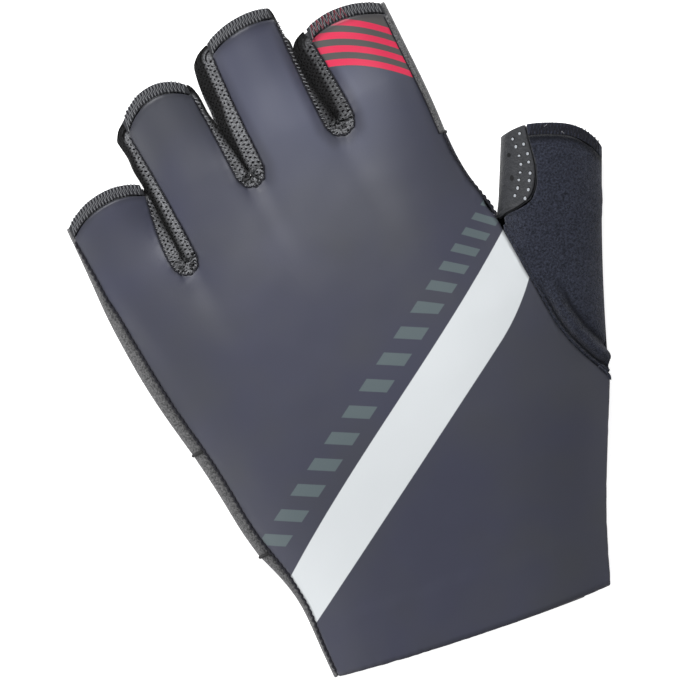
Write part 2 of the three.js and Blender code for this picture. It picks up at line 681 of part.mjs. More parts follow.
// The thumb's palm side: perforated leather from the thumb's right side, under it, up its left side and
// over the top as a flap. Below the crotch it ends at the palm panel.
const UNDER_CELLS = 3;
const CORNER_CELLS = 3;
// The corner's largest share of the underside's width, and how the cells crowd towards the left side on top.
const CORNER_SHARE = 0.6;
const FLAP_EASE = 1.2;

function thumbPalmPoint(level, part) {
	let forward = level < 0 ? -level * FOOT.forward : level * THUMB_LENGTH;
	const left = thumbLeft(forward);
	const right = thumbRight(forward);
	const half = (THUMB_WIDTH - left) / 2;
	const corner = Math.min(THUMB_CORNER, (right - seamAt(forward, palmInset).sideways) * CORNER_SHARE);
	const top = THUMB_SIDE_HEIGHT - 2.5 * SEAM_GAP;
	let sideways = 0;
	let z = 0;
	const leftEnd = level < 0
		? seamAt(forward, (y) => palmInset(y) - 1.5 * SEAM_GAP).sideways
		: lerp(-SEAM_GAP, THUMB_CORNER, smoothstep(level, 0, 0.2));
	if (part <= 1) {
		const angle = (Math.PI / 2) * part;
		sideways = right - corner * (1 - Math.cos(angle));
		z = top * (1 - Math.sin(angle));
	} else if (part <= 2) {
		sideways = lerp(right - corner, leftEnd, part - 1);
	} else if (part <= 3) {
		const angle = (Math.PI / 2) * (part - 2);
		sideways = lerp(leftEnd, left, Math.sin(angle));
		z = top * (1 - Math.cos(angle));
	} else {
		const reach = flapEdge(Math.max(level, 0) * THUMB_LENGTH, -SEAM_GAP);
		const last = Math.min((reach - left) / half - 1, 0);
		const angle = Math.acos((-last) ** FLAP_EASE) * (part - 3);
		const across = -(Math.cos(angle) ** (1 / FLAP_EASE));
		sideways = left + half * (1 + across);
		z = thumbArch(across);
	}
	const across = thumbAcross(forward, sideways);
	if (level > 0) forward = level * thumbMouth(THREE.MathUtils.clamp(across, -1, 1));
	return toHand(forward, sideways, z);
}

function thumbPalm() {
	const parts = [];
	for (let k = 0; k < CORNER_CELLS; k += 1) parts.push(k / CORNER_CELLS);
	for (let k = 0; k < UNDER_CELLS; k += 1) parts.push(1 + k / UNDER_CELLS);
	for (let k = 0; k < CORNER_CELLS; k += 1) parts.push(2 + k / CORNER_CELLS);
	for (let k = 0; k <= CORNER_CELLS; k += 1) parts.push(3 + k / CORNER_CELLS);
	const ringFrom = THUMB_LOW_LEVELS.length;
	return wall({
		rows: thumbLevels.length - 1,
		columns: parts.length - 1,
		outer: (i, j) => thumbPalmPoint(thumbLevels[i], parts[j]),
		thickness: () => LEATHER_WALL,
		keep: (i, j) => i >= ringFrom || j < CORNER_CELLS + UNDER_CELLS,
	});
}

addPiece('thumb_palm', thumbPalm(), SUEDE);

// Hem bands: the folded and stitched ends of the fingers and of the thumb.
function fingerHem(k) {
	const shares = FINGER_COLUMNS;
	const outer = (i, j) => {
		const across = shares[j];
		const y = tipY(k, across) - HEM_DEPTH * (1 - i);
		return new THREE.Vector3(laneX(k, across, 1), y, fingerTop(k, across, 1) + (HEM_WALL - BACK_WALL) / 2);
	};
	return wall({ rows: 1, columns: shares.length - 1, outer, thickness: () => HEM_WALL });
}

FINGERS.forEach((finger, k) => addPiece(`finger_hem_${finger.name}`, fingerHem(k), HEM));

function thumbHem() {
	const outer = (i, j) => thumbBackPoint(1, THUMB_COLUMNS[j], HEM_DEPTH * (1 - i));
	return wall({ rows: 1, columns: THUMB_COLUMNS.length - 1, outer, thickness: () => FLEECE_WALL });
}

addPiece('thumb_hem', thumbHem(), FLEECE);

// The palm panel: one piece with the undersides of the fingers, flat where the mitt rests, with a rim that
// curls up at its sides and in the slots.
const PALM_COLUMNS = [-1, -0.6, 0, 0.6, 1];
const PALM_MARGIN = 1;

function palmPanel() {
	const columns = handColumns(PALM_COLUMNS);
	const lastColumn = columns.length - 1;
	const handRows = HAND_LEVELS.length - 1;
	const edge = handRow(PALM_LENGTH);
	const reach = (bulge) => bulge * PALM_REACH;
	const outer = (i, j) => {
		const column = columns[j];
		const k = column.finger;
		if (i > handRows) {
			const along = (i - handRows) / FINGER_CELLS;
			const ends = [-1, 1].map((side) => {
				const outermost = (k === 0 && side < 0) || (k === FINGERS.length - 1 && side > 0);
				if (!outermost) return slotPlace(side < 0 ? k - 1 : k, side < 0 ? 1 + along : -along, reach).x;
				const y = laneY(k, side, along, 0);
				return sidePlace(side, y).x + side * reach(sideBulge(side, y));
			});
			const x = lerp(ends[0], ends[1], (column.across + 1) / 2);
			const curl = PALM_RIM_CURL * Math.max(0, (Math.abs(column.across) - 0.6) / 0.4) ** 2;
			return new THREE.Vector3(x, laneY(k, column.across, along, PALM_MARGIN), curl);
		}
		const level = HAND_LEVELS[i];
		const share = (column.x - edge.left) / (edge.right - edge.left);
		const cuff = cuffY(lerp(-WRIST_WIDTH / 2, WRIST_WIDTH / 2, share));
		let y = lerp(cuff, column.top, level);
		const row = handRow(y);
		const left = row.left - reach(sideBulge(-1, y));
		const aboveThumb = smoothstep(y, THUMB_CROTCH_Y, THUMB_CROTCH_Y + 4);
		const right = row.right + lerp(-palmInset(y), reach(sideBulge(1, Math.max(y, THUMB_CROTCH_Y))), aboveThumb);
		let x = lerp(left, right, share);
		const fade = smoothstep(level, 0.86, 1);
		let curl = 0;
		if (column.slot !== undefined) {
			const place = slotPlace(column.slot, column.turn, reach);
			x = lerp(x, place.x, fade);
			y = lerp(y, lerp(cuff, place.y, level), fade);
			curl = PALM_RIM_CURL * fade * fade;
		} else {
			const ends = [-1, 1].map((side) => {
				const outermost = (k === 0 && side < 0) || (k === FINGERS.length - 1 && side > 0);
				if (outermost) return side < 0 ? left : right;
				return slotPlace(side < 0 ? k - 1 : k, side < 0 ? 1 : 0, reach).x;
			});
			x = lerp(x, lerp(ends[0], ends[1], (column.across + 1) / 2), fade);
			curl = PALM_RIM_CURL * fade * fade * Math.max(0, (Math.abs(column.across) - 0.6) / 0.4);
		}
		if (j === 0) curl = PALM_RIM_CURL;
		if (j === lastColumn) curl = PALM_RIM_CURL * aboveThumb;
		return new THREE.Vector3(x, y, curl);
	};
	const inner = (i, j) => outer(i, j).add(new THREE.Vector3(0, 0, PALM_WALL));
	const keep = (i, j) => {
		const slotted = columns[j].slot !== undefined || columns[j + 1].slot !== undefined;
		return i < handRows || !slotted;
	};
	return wall({ rows: handRows + FINGER_CELLS, columns: lastColumn, outer, inner, keep });
}

addPiece('palm_panel', palmPanel(), SUEDE);

// The origin is the middle of the mitt's footprint, on the surface that it lies on.
const box = new THREE.Box3().setFromObject(glove);
glove.position.set(-(box.min.x + box.max.x) / 2, -(box.min.y + box.max.y) / 2, -box.min.z);

export default glove;
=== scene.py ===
# A fingerless cycling mitt for the left hand, lying palm down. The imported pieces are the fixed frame, and
# each one gets a fine, soft-edged copy with its cloth's finish, its seams and its stitches.
import math

import bmesh
import bpy
import numpy as np
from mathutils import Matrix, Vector, kdtree, noise
from mathutils.bvhtree import BVHTree


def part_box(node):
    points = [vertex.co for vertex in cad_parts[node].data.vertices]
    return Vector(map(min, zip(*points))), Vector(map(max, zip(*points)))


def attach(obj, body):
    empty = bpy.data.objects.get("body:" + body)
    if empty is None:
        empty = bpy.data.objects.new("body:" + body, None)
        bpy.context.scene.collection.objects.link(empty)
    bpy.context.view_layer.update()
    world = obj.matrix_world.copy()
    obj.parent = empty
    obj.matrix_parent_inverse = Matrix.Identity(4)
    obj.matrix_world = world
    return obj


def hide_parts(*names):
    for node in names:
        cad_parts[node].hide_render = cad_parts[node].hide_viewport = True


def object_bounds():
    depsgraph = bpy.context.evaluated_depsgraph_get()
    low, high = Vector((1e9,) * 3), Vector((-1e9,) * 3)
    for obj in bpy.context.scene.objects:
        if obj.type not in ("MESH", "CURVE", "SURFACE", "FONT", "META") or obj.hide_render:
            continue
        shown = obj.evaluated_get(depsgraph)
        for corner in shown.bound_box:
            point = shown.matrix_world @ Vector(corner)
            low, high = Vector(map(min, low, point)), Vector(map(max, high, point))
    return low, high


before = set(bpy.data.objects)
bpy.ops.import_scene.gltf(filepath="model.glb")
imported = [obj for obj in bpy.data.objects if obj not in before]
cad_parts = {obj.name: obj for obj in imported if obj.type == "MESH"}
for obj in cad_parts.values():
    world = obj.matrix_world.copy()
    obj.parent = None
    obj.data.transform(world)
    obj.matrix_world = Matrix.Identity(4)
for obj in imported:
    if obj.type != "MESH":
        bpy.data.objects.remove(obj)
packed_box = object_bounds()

MM = 0.001

# The camera hangs straight above the mitt with a long lens, as the photograph's does. The mitt's fingers
# point 27 degrees to the left of the picture's top.
PICTURE_LEAN = math.radians(27)
PICTURE_MIDDLE = Vector((-14.8, 1.0, 10.0)) * MM
PICTURE_WIDTH = 163.2 * MM
CAMERA_HEIGHT = 1.6
SENSOR_WIDTH = 36.0
camera_data = bpy.data.cameras.new("camera")
camera_data.sensor_width = SENSOR_WIDTH
camera_data.lens = SENSOR_WIDTH * (CAMERA_HEIGHT - PICTURE_MIDDLE.z) / PICTURE_WIDTH
camera_data.clip_start = 0.01
camera = bpy.data.objects.new("camera", camera_data)
camera.location = (PICTURE_MIDDLE.x, PICTURE_MIDDLE.y, CAMERA_HEIGHT)
camera.rotation_euler = (0, 0, -PICTURE_LEAN)
bpy.context.collection.objects.link(camera)
bpy.context.scene.camera = camera
bpy.context.scene.view_settings.view_transform = "Standard"

# The floor is a plain white light table, wide enough to fill every view. Its own glow washes out the shadow,
# as in the photograph.
FLOOR_SIZE = 6.0
FLOOR_GLOW = 0.8
FLOOR_WHITE = (0.9, 0.9, 0.9, 1)
FLOOR_ROUGHNESS = 0.9
floor_mesh = bpy.data.meshes.new("floor")
floor_corners = [(x * FLOOR_SIZE / 2, y * FLOOR_SIZE / 2, 0) for x, y in ((-1, -1), (1, -1), (1, 1), (-1, 1))]
floor_mesh.from_pydata(floor_corners, [], [(0, 1, 2, 3)])
floor = bpy.data.objects.new("floor", floor_mesh)
bpy.context.collection.objects.link(floor)
floor_card = bpy.data.materials.new("floor_card")
floor_card.use_nodes = True
floor_shader = floor_card.node_tree.nodes["Principled BSDF"]
floor_shader.inputs["Base Color"].default_value = FLOOR_WHITE
floor_shader.inputs["Roughness"].default_value = FLOOR_ROUGHNESS
floor_shader.inputs["Emission Color"].default_value = (1, 1, 1, 1)
floor_shader.inputs["Emission Strength"].default_value = FLOOR_GLOW
floor_mesh.materials.append(floor_card)

# The light is a pale room with one large soft lamp above the picture's top left and a weak low one at its
# bottom left.
ROOM_LIGHT = 0.3
LAMP_POWER = 8.8
LAMP_SIZE = 0.5
LAMP_LEFT = 0.3
LAMP_UP = 0.54
LAMP_HEIGHT = 0.58
FILL_POWER = 9.0
FILL_SIZE = 0.6
FILL_LEFT = 1.0
FILL_UP = -1.0
FILL_HEIGHT = 0.5
world = bpy.data.worlds.new("room")
world.use_nodes = True
world.node_tree.nodes["Background"].inputs["Color"].default_value = (1, 1, 1, 1)
world.node_tree.nodes["Background"].inputs["Strength"].default_value = ROOM_LIGHT
bpy.context.scene.world = world
picture_right = Vector((math.cos(PICTURE_LEAN), -math.sin(PICTURE_LEAN), 0))
picture_up = Vector((math.sin(PICTURE_LEAN), math.cos(PICTURE_LEAN), 0))
for name, power, size, left, up, height in (
        ("lamp", LAMP_POWER, LAMP_SIZE, LAMP_LEFT, LAMP_UP, LAMP_HEIGHT),
        ("fill", FILL_POWER, FILL_SIZE, FILL_LEFT, FILL_UP, FILL_HEIGHT)):
    lamp_data = bpy.data.lights.new(name, "AREA")
    lamp_data.energy = power
    lamp_data.size = size
    lamp = bpy.data.objects.new(name, lamp_data)
    lamp.location = picture_up * up - picture_right * left + Vector((0, 0, height))
    lamp.rotation_euler = (-lamp.location).to_track_quat("-Z", "Y").to_euler()
    bpy.context.collection.objects.link(lamp)


# The palm panel is one cut of charcoal synthetic leather with the undersides of the four fingers. It lies
# flat on what carries it, and its rim curls up to meet the gussets and strips that are sewn to it.
WELD = 0.001
QUAD_ANGLE = 0.6
QUAD_SHAPE = 1.2
RIM_ANGLE = math.radians(38)
RIM_CREASE = 0.72


def sewn_piece(node, cuts=3):
    """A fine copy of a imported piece, which stands for it. Its hard rims become soft folded edges."""
    form = bmesh.new()
    form.from_mesh(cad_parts[node].data)
    bmesh.ops.remove_doubles(form, verts=form.verts, dist=WELD * MM)
    bmesh.ops.join_triangles(form, faces=form.faces, angle_face_threshold=QUAD_ANGLE,
                             angle_shape_threshold=QUAD_SHAPE)
    crease = form.edges.layers.float.new("crease_edge")
    for edge in form.edges:
        if edge.calc_face_angle(0) > RIM_ANGLE:
            edge[crease] = RIM_CREASE
    mesh = bpy.data.meshes.new(node + "_cloth")
    form.to_mesh(mesh)
    form.free()
    piece = bpy.data.objects.new(mesh.name, mesh)
    bpy.context.collection.objects.link(piece)
    rounding = piece.modifiers.new("rounding", "SUBSURF")
    rounding.levels = cuts
    rounding.render_levels = cuts
    fine = bpy.data.meshes.new_from_object(piece.evaluated_get(bpy.context.evaluated_depsgraph_get()))
    piece.modifiers.clear()
    piece.data = fine
    fine.shade_smooth()
    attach(piece, "root")
    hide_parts(node)
    return piece


def dress(piece, material):
    piece.data.materials.clear()
    piece.data.materials.append(material)


def finish(name, roughness, sheen=0.0, gloss=0.3):
    """A plain matt finish. Its colour and relief are added by the section that uses it."""
    material = bpy.data.materials.new(name)
    material.use_nodes = True
    shader = material.node_tree.nodes["Principled BSDF"]
    shader.inputs["Roughness"].default_value = roughness
    shader.inputs["Sheen Weight"].default_value = sheen
    shader.inputs["Specular IOR Level"].default_value = gloss
    return material


def add(material, kind, inputs, **settings):
    """Adds one shader node. Each input is a number, a colour or another node's output."""
    tree = material.node_tree
    node = tree.nodes.new("ShaderNode" + kind)
    for key, value in settings.items():
        setattr(node, key, value)
    for key, value in inputs.items():
        if isinstance(value, bpy.types.NodeSocket):
            tree.links.new(value, node.inputs[key])
        else:
            node.inputs[key].default_value = value
    return node


def colour_mix(material, share, one, other):
    """One colour where the share is 0 and the other where it is 1."""
    mix = add(material, "Mix", {}, data_type="RGBA")
    tree = material.node_tree
    for socket, value in zip((mix.inputs[0], mix.inputs[6], mix.inputs[7]), (share, one, other)):
        if isinstance(value, bpy.types.NodeSocket):
            tree.links.new(value, socket)
        else:
            socket.default_value = value if isinstance(value, (int, float)) else (*value, 1)
    return mix.outputs[2]


def maths(material, operation, one, other):
    """Two numbers added, subtracted or multiplied."""
    return add(material, "Math", {0: one, 1: other}, operation=operation).outputs[0]


def grains(material, scale, kind="Noise", **inputs):
    """A noise or cell pattern that is fixed to the mitt. Its scale is in grains to the metre."""
    place = add(material, "TexCoord", {}).outputs["Object"]
    return add(material, "Tex" + kind, {"Vector": place, "Scale": scale, **inputs})


def coat(material, colour, height=None, depth=0.0):
    """Joins a colour and a relief, depth in millimetres, to the finish."""
    shader = material.node_tree.nodes["Principled BSDF"]
    if isinstance(colour, bpy.types.NodeSocket):
        material.node_tree.links.new(colour, shader.inputs["Base Color"])
    else:
        shader.inputs["Base Color"].default_value = (*colour, 1)
    if height is not None:
        bump = add(material, "Bump", {"Height": height, "Distance": depth * MM, "Strength": 1.0})
        material.node_tree.links.new(bump.outputs[0], shader.inputs["Normal"])


LEATHER_GREY = (0.045, 0.047, 0.053)
LEATHER_DARK = (0.012, 0.013, 0.015)
LEATHER_CELLS = 1900
LEATHER_CLOUDS = 900
LEATHER_DEPTH = 0.1
palm_leather = finish("palm_leather", roughness=0.62, sheen=0.05)
leather_cells = grains(palm_leather, LEATHER_CELLS, "Voronoi")
leather_cloud = grains(palm_leather, LEATHER_CLOUDS, Detail=4.0)
leather_colour = colour_mix(palm_leather, leather_cloud.outputs["Fac"], LEATHER_DARK, LEATHER_GREY)
coat(palm_leather, leather_colour, leather_cells.outputs["Distance"], LEATHER_DEPTH)

palm = sewn_piece("palm_panel", cuts=2)
dress(palm, palm_leather)


# The three gussets are grey knit mesh, each one band down the side of a finger, round the crotch and up the
# next. They are sewn between the back's edge and the palm's.
MESH_PITCH = 0.86
MESH_HOLE = 0.19
HOLE_EDGE = 0.12
MESH_LOOSE = 0.16
DIAGONAL = 0.7071
YARN_GRAINS = 2600
YARN_SHARE = (0.3, 0.7)
YARN_RELIEF = 0.25
MESH_DEPTH = 0.28
MESH_LIGHT = (0.3, 0.305, 0.32)
MESH_DARK = (0.05, 0.051, 0.054)
HOLE_DARK = (0.006, 0.006, 0.007)
STEP = 0.25 * MM
SHORTEST_RUN = 8


def points_of(piece):
    points = np.empty(len(piece.data.vertices) * 3)
    piece.data.vertices.foreach_get("co", points)
    return points.reshape(-1, 3)


def normals_of(piece):
    normals = np.empty(len(piece.data.vertices) * 3)
    piece.data.vertex_normals.foreach_get("vector", normals)
    return normals.reshape(-1, 3)


def reshape(piece, points):
    piece.data.vertices.foreach_set("co", points.ravel())
    piece.data.update()


def store(piece, name, values):
    """Keeps one number for each of a piece's points, for its material to read."""
    attribute = piece.data.attributes.new(name, "FLOAT", "POINT")
    attribute.data.foreach_set("value", np.asarray(values, dtype=np.float32))


def evenly(points, step=STEP, closed=False):
    """The same line with its points a step apart."""
    line = np.array(points)
    if closed:
        line = np.vstack([line, line[:1]])
    lengths = np.r_[0, np.cumsum(np.linalg.norm(np.diff(line, axis=0), axis=1))]
    places = np.linspace(0, lengths[-1], max(2, round(lengths[-1] / step)) + 1)
    return np.stack([np.interp(places, lengths, line[:, k]) for k in range(3)], axis=1)


def eased(line, reach):
    """The same line with its corners eased, by averaging over reach points each way. Its ends stay."""
    padded = np.vstack([np.repeat(line[:1], reach, axis=0), line, np.repeat(line[-1:], reach, axis=0)])
    window = np.ones(2 * reach + 1) / (2 * reach + 1)
    soft = np.stack([np.convolve(padded[:, k], window, mode="valid") for k in range(3)], axis=1)
    soft[0] = line[0]
    soft[-1] = line[-1]
    return soft


def rim_of(node):
    """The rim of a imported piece's outer face, as points in order: the face is what joins its highest point
    without a hard edge."""
    form = bmesh.new()
    form.from_mesh(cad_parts[node].data)
    bmesh.ops.remove_doubles(form, verts=form.verts, dist=WELD * MM)
    top = max(form.faces, key=lambda face: face.calc_center_median().z)
    outer = {top}
    waiting = [top]
    while waiting:
        for edge in waiting.pop().edges:
            if edge.calc_face_angle(0) < RIM_ANGLE:
                fresh = [face for face in edge.link_faces if face not in outer]
                outer.update(fresh)
                waiting.extend(fresh)
    ways = {}
    for face in outer:
        for loop in face.loops:
            if loop.link_loop_radial_next.face not in outer:
                ways[loop.vert.index] = (loop.vert.co.copy(), loop.link_loop_next.vert.index)
    start = next(iter(ways))
    rim = [ways[start][0]]
    at = ways[start][1]
    while at != start:
        rim.append(ways[at][0])
        at = ways[at][1]
    form.free()
    return rim


def runs(line, keep):
    """The stretches of a closed line whose points are kept, each in order."""
    kept = np.array([keep(point) for point in line])
    if kept.all():
        return [line]
    first = int(np.argmin(kept))
    line = np.roll(line, -first, axis=0)
    kept = np.roll(kept, -first)
    edges = np.flatnonzero(np.diff(np.r_[0, kept.astype(int), 0]))
    return [line[a:b] for a, b in zip(edges[::2], edges[1::2]) if b - a > SHORTEST_RUN]


def nearest_on(line, points):
    """For each point, how far along the line its nearest place is, and how far off."""
    tree = kdtree.KDTree(len(line))
    for i, point in enumerate(line):
        tree.insert(point, i)
    tree.balance()
    found = [tree.find(point)[1:] for point in points]
    return np.array([i for i, _ in found]) * STEP, np.array([off for _, off in found])


FINGERS = ["pinky", "ring", "middle", "index"]
SLOTS = ["pinky_ring", "ring_middle", "middle_index"]
HEM_REACH = 0.8
CROTCH_REACH = 3.0
finger_middles = [sum(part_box("finger_hem_" + finger), Vector()).x / 2 for finger in FINGERS]


def tree_of(piece):
    form = bmesh.new()
    form.from_mesh(piece.data)
    tree = BVHTree.FromBMesh(form)
    form.free()
    return tree


hem_trees = [tree_of(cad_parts["finger_hem_" + finger]) for finger in FINGERS]
back_rim = evenly(rim_of("back_panel"), closed=True)


def beside_hem(point, reach=HEM_REACH * MM):
    return any(tree.find_nearest(point, reach)[0] is not None for tree in hem_trees)


def slot_edge(k):
    """The back panel's edge in a slot, from the left finger's end round the crotch to the right finger's."""
    low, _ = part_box("fourchette_" + SLOTS[k])

    def inside(point):
        between = finger_middles[k] < point[0] < finger_middles[k + 1]
        return between and point[1] > low.y - CROTCH_REACH * MM and not beside_hem(point)

    edge = max(runs(back_rim, inside), key=len)
    if edge[0][0] > edge[-1][0]:
        edge = edge[::-1]
    return evenly(edge)


slot_edges = [slot_edge(k) for k in range(len(SLOTS))]


def smooth(low, high, values):
    """A soft step from 0 to 1 as the values go from low to high."""
    share = np.clip((np.asarray(values) - low) / (high - low), 0, 1)
    return share * share * (3 - 2 * share)


def rough_at(points, grain, seed=0.0):
    """Smooth noise from -1 to 1 at each point, with grains of the given size."""
    shift = Vector((seed, -seed, 2 * seed))
    return np.array([noise.noise(Vector(point) / grain + shift) for point in points])


# Painted light and shade on the mesh: how wide it is painted lit beside each seam, in millimetres, before
# it is painted into the shade between the fingers: on the left of each slot near the web and near the tip,
# then on its right. The last gusset is painted a shade darker away from its web.
MESH_LIT = [((2.1, 0.8), 1.5), ((1.7, 0.8), 2.5), ((1.2, 0.5), 1.9)]
MESH_DIM = (0.0, 0.1, 0.55)
DIM_START = (4.0, 9.0)
LIT_CLIMB = (3.0, 20.0)
LIT_EDGE = 0.5
LIT_LEAST = 0.05
# The colour of the mesh's painted shade.
MESH_SHADE = (0.004, 0.004, 0.004)

# How far the two walls of a slot lean together, and the wrinkles in its web, whose folds are also
# painted in shade.
MEET_LENGTH = (28.0, 17.0, 24.0)
MEET_FADE = 5.0
MEET_START = (1.2, 3.5)
MEET_LAP = 0.6
LEVEL_STEP = 1.0
LEVEL_REACH = 0.8
WALL_START = 3.5
WEB_LENGTH = 4.5
WRINKLE = 0.75
WRINKLE_GRAIN = 1.7
WRINKLE_NARROW = 3.2
WRINKLE_START = (0.6, 1.6)
WRINKLE_SHADE = 0.85

knit_mesh = finish("knit_mesh", roughness=0.9, sheen=0.02, gloss=0.1)
across_mesh = add(knit_mesh, "Attribute", {}, attribute_name="mesh_across").outputs["Fac"]
along_mesh = add(knit_mesh, "Attribute", {}, attribute_name="mesh_along").outputs["Fac"]
mesh_place = add(knit_mesh, "CombineXYZ", {0: maths(knit_mesh, "ADD", along_mesh, across_mesh),
                                           1: maths(knit_mesh, "SUBTRACT", along_mesh, across_mesh)})
mesh_cells = add(knit_mesh, "TexVoronoi", {"Vector": mesh_place.outputs[0], "Scale": 1.0, "Randomness": MESH_LOOSE})
mesh_hole = add(knit_mesh, "MapRange", {0: mesh_cells.outputs["Distance"],
                                        1: MESH_HOLE, 2: MESH_HOLE + HOLE_EDGE})
mesh_yarn = grains(knit_mesh, YARN_GRAINS, Detail=3.0)
mesh_shade = add(knit_mesh, "MapRange", {0: mesh_yarn.outputs["Fac"], 1: YARN_SHARE[0], 2: YARN_SHARE[1]})
mesh_grey = colour_mix(knit_mesh, mesh_shade.outputs[0], MESH_DARK, MESH_LIGHT)
mesh_colour = colour_mix(knit_mesh, mesh_hole.outputs[0], HOLE_DARK, mesh_grey)
# Painted shade: where mesh_lit is low, the mesh's colour is mixed down to near black.
mesh_lit = add(knit_mesh, "Attribute", {}, attribute_name="mesh_lit").outputs["Fac"]
mesh_colour = colour_mix(knit_mesh, mesh_lit, MESH_SHADE, mesh_colour)
mesh_height = maths(knit_mesh, "MULTIPLY", mesh_shade.outputs[0], YARN_RELIEF)
mesh_height = maths(knit_mesh, "ADD", mesh_height, mesh_hole.outputs[0])
coat(knit_mesh, mesh_colour, mesh_height, MESH_DEPTH)


def left_wall(piece, level):
    """Which of a gusset's points belong to the wall on its slot's left, above the web."""
    places = points_of(piece)
    pairs = np.empty(len(piece.data.edges) * 2, dtype=int)
    piece.data.edges.foreach_get("vertices", pairs)
    beside = [[] for _ in places]
    for one, other in pairs.reshape(-1, 2).tolist():
        beside[one].append(other)
        beside[other].append(one)
    above = places[:, 1] > level
    start = int(np.argmin(np.where(above, places[:, 0], 1)))
    found = {start}
    waiting = [start]
    while waiting:
        fresh = [i for i in beside[waiting.pop()] if above[i] and i not in found]
        found.update(fresh)
        waiting.extend(fresh)
    left = np.zeros(len(places), dtype=bool)
    left[list(found)] = True
    return left, above


for k, slot in enumerate(SLOTS):
    gusset = sewn_piece("fourchette_" + slot)
    places = points_of(gusset)
    along, off = nearest_on(slot_edges[k], places)
    turn = int(np.argmin(slot_edges[k][:, 1]))
    left, above_web = left_wall(gusset, slot_edges[k][turn, 1] + WALL_START * MM)
    for wall, first, last in ((above_web & left, 0, turn), (above_web & ~left, turn, len(slot_edges[k]))):
        wall_along, off[wall] = nearest_on(slot_edges[k][first:last], places[wall])
        along[wall] = wall_along + first * STEP
    store(gusset, "mesh_along", along / (MESH_PITCH * MM) * DIAGONAL)
    store(gusset, "mesh_across", off / (MESH_PITCH * MM) * DIAGONAL)
    bottom = STEP * turn
    web = smooth(2 * WEB_LENGTH, WEB_LENGTH, np.abs(along - bottom) / MM)
    folds = np.zeros(len(places))
    folds[web > 0] = 1 - np.abs(rough_at(places[web > 0], WRINKLE_GRAIN * MM, k)) * WRINKLE_NARROW
    folds = np.clip(folds, 0, 1) * web * smooth(*WRINKLE_START, off / MM)
    reshape(gusset, places - normals_of(gusset) * (folds * WRINKLE * MM)[:, None])
    # Painted light and shade: the mesh is painted lit near the seam and across the web, and painted dark further
    # down its walls, on the last gusset away from its web, and in the wrinkles' folds.
    plan = np.array([1, 1, 0])
    _, plan_off = nearest_on(slot_edges[k] * plan, places * plan)
    height_share = smooth(*LIT_CLIMB, (places[:, 1] - slot_edges[k][turn, 1]) / MM)
    low, high = MESH_LIT[k][0]
    lit_width = np.where(along < bottom, low + (high - low) * height_share, MESH_LIT[k][1])
    lit = np.maximum(smooth(lit_width + LIT_EDGE, lit_width - LIT_EDGE, plan_off / MM), web)
    lit *= 1 - MESH_DIM[k] * smooth(*DIM_START, np.abs(along - bottom) / MM)
    store(gusset, "mesh_lit", np.clip(lit, LIT_LEAST, 1) * (1 - WRINKLE_SHADE * folds))
    # Down between the fingers the two walls lean together.
    places = points_of(gusset)
    left = along < bottom
    above = (places[:, 1] - slot_edges[k][:, 1].min()) / MM
    deep = smooth(*MEET_START, off / MM) * smooth(MEET_LENGTH[k] + MEET_FADE, MEET_LENGTH[k], above)
    levels = np.arange(WALL_START + LEVEL_STEP / 2, above.max(), LEVEL_STEP)
    rows = [np.abs(above - level) < LEVEL_REACH for level in levels]
    gaps = [places[row & ~left, 0].min() - places[row & left, 0].max() for row in rows
            if (row & ~left).any() and (row & left).any()]
    gap = np.interp(above, levels[:len(gaps)], gaps)
    closing = np.maximum(gap + MEET_LAP * MM, 0) / 2
    places[:, 0] += np.where(left, closing, -closing) * deep
    reshape(gusset, places)
    dress(gusset, knit_mesh)


# Each gusset is sewn to the back with a dark lockstitch that waves along the seam, and the mesh's cut edge
# shows beside it as pale flecks, which are longer on the slot's left.
SEAM_THREAD = 0.17
SEAM_WAVE = 0.12
SEAM_PITCH = 1.5
SEAM_SHIFT = 0.12
SEAM_LIFT = 0.02
FLECK_PITCH = 0.95
FLECK_THREAD = 0.11
FLECK_SHIFTS = (0.5, 0.55)
FLECK_LENGTHS = (0.7, 0.4)
FLECK_GRAIN = 0.9
FLECK_STRAY = 0.15
FLECK_LEAN = 0.6
FLECK_UNLIKE = 0.25
DARK_THREAD = (0.012, 0.012, 0.017)
PALE_THREAD = (0.24, 0.245, 0.26)
ASKEW = (0.31, 0.17, 0.94)
dark_thread = finish("dark_thread", roughness=0.8)
coat(dark_thread, DARK_THREAD)
pale_thread = finish("pale_thread", roughness=0.8)
coat(pale_thread, PALE_THREAD)


def thread(name, lines, radius, material, sides=5):
    """Round threads, one along each line of points, as one piece."""
    corners = []
    faces = []
    turns = [2 * math.pi * k / sides for k in range(sides)]
    for line in lines:
        line = np.asarray(line)
        ways = np.gradient(line, axis=0)
        ways /= np.linalg.norm(ways, axis=1)[:, None]
        first = np.cross(ways, ASKEW)
        first /= np.linalg.norm(first, axis=1)[:, None]
        second = np.cross(ways, first)
        start = len(corners)
        for place, one, other in zip(line, first, second):
            corners.extend(place + radius * (math.cos(a) * one + math.sin(a) * other) for a in turns)
        last = start + sides * (len(line) - 1)
        for ring in range(start, last, sides):
            for k in range(sides):
                beside = (k + 1) % sides
                faces.append((ring + k, ring + k + sides, ring + beside + sides, ring + beside))
        faces.append(tuple(range(start, start + sides)))
        faces.append(tuple(range(last + sides - 1, last - 1, -1)))
    mesh = bpy.data.meshes.new(name)
    mesh.from_pydata([tuple(corner) for corner in corners], [], faces)
    mesh.shade_smooth()
    mesh.materials.append(material)
    piece = bpy.data.objects.new(name, mesh)
    bpy.context.collection.objects.link(piece)
    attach(piece, "root")
    return piece


def left_of(line):
    """The level direction to the left of a line at each of its points."""
    ways = np.gradient(eased(line, 6), axis=0)
    sideways = np.stack([-ways[:, 1], ways[:, 0], np.zeros(len(ways))], axis=1)
    return sideways / np.linalg.norm(sideways, axis=1)[:, None]


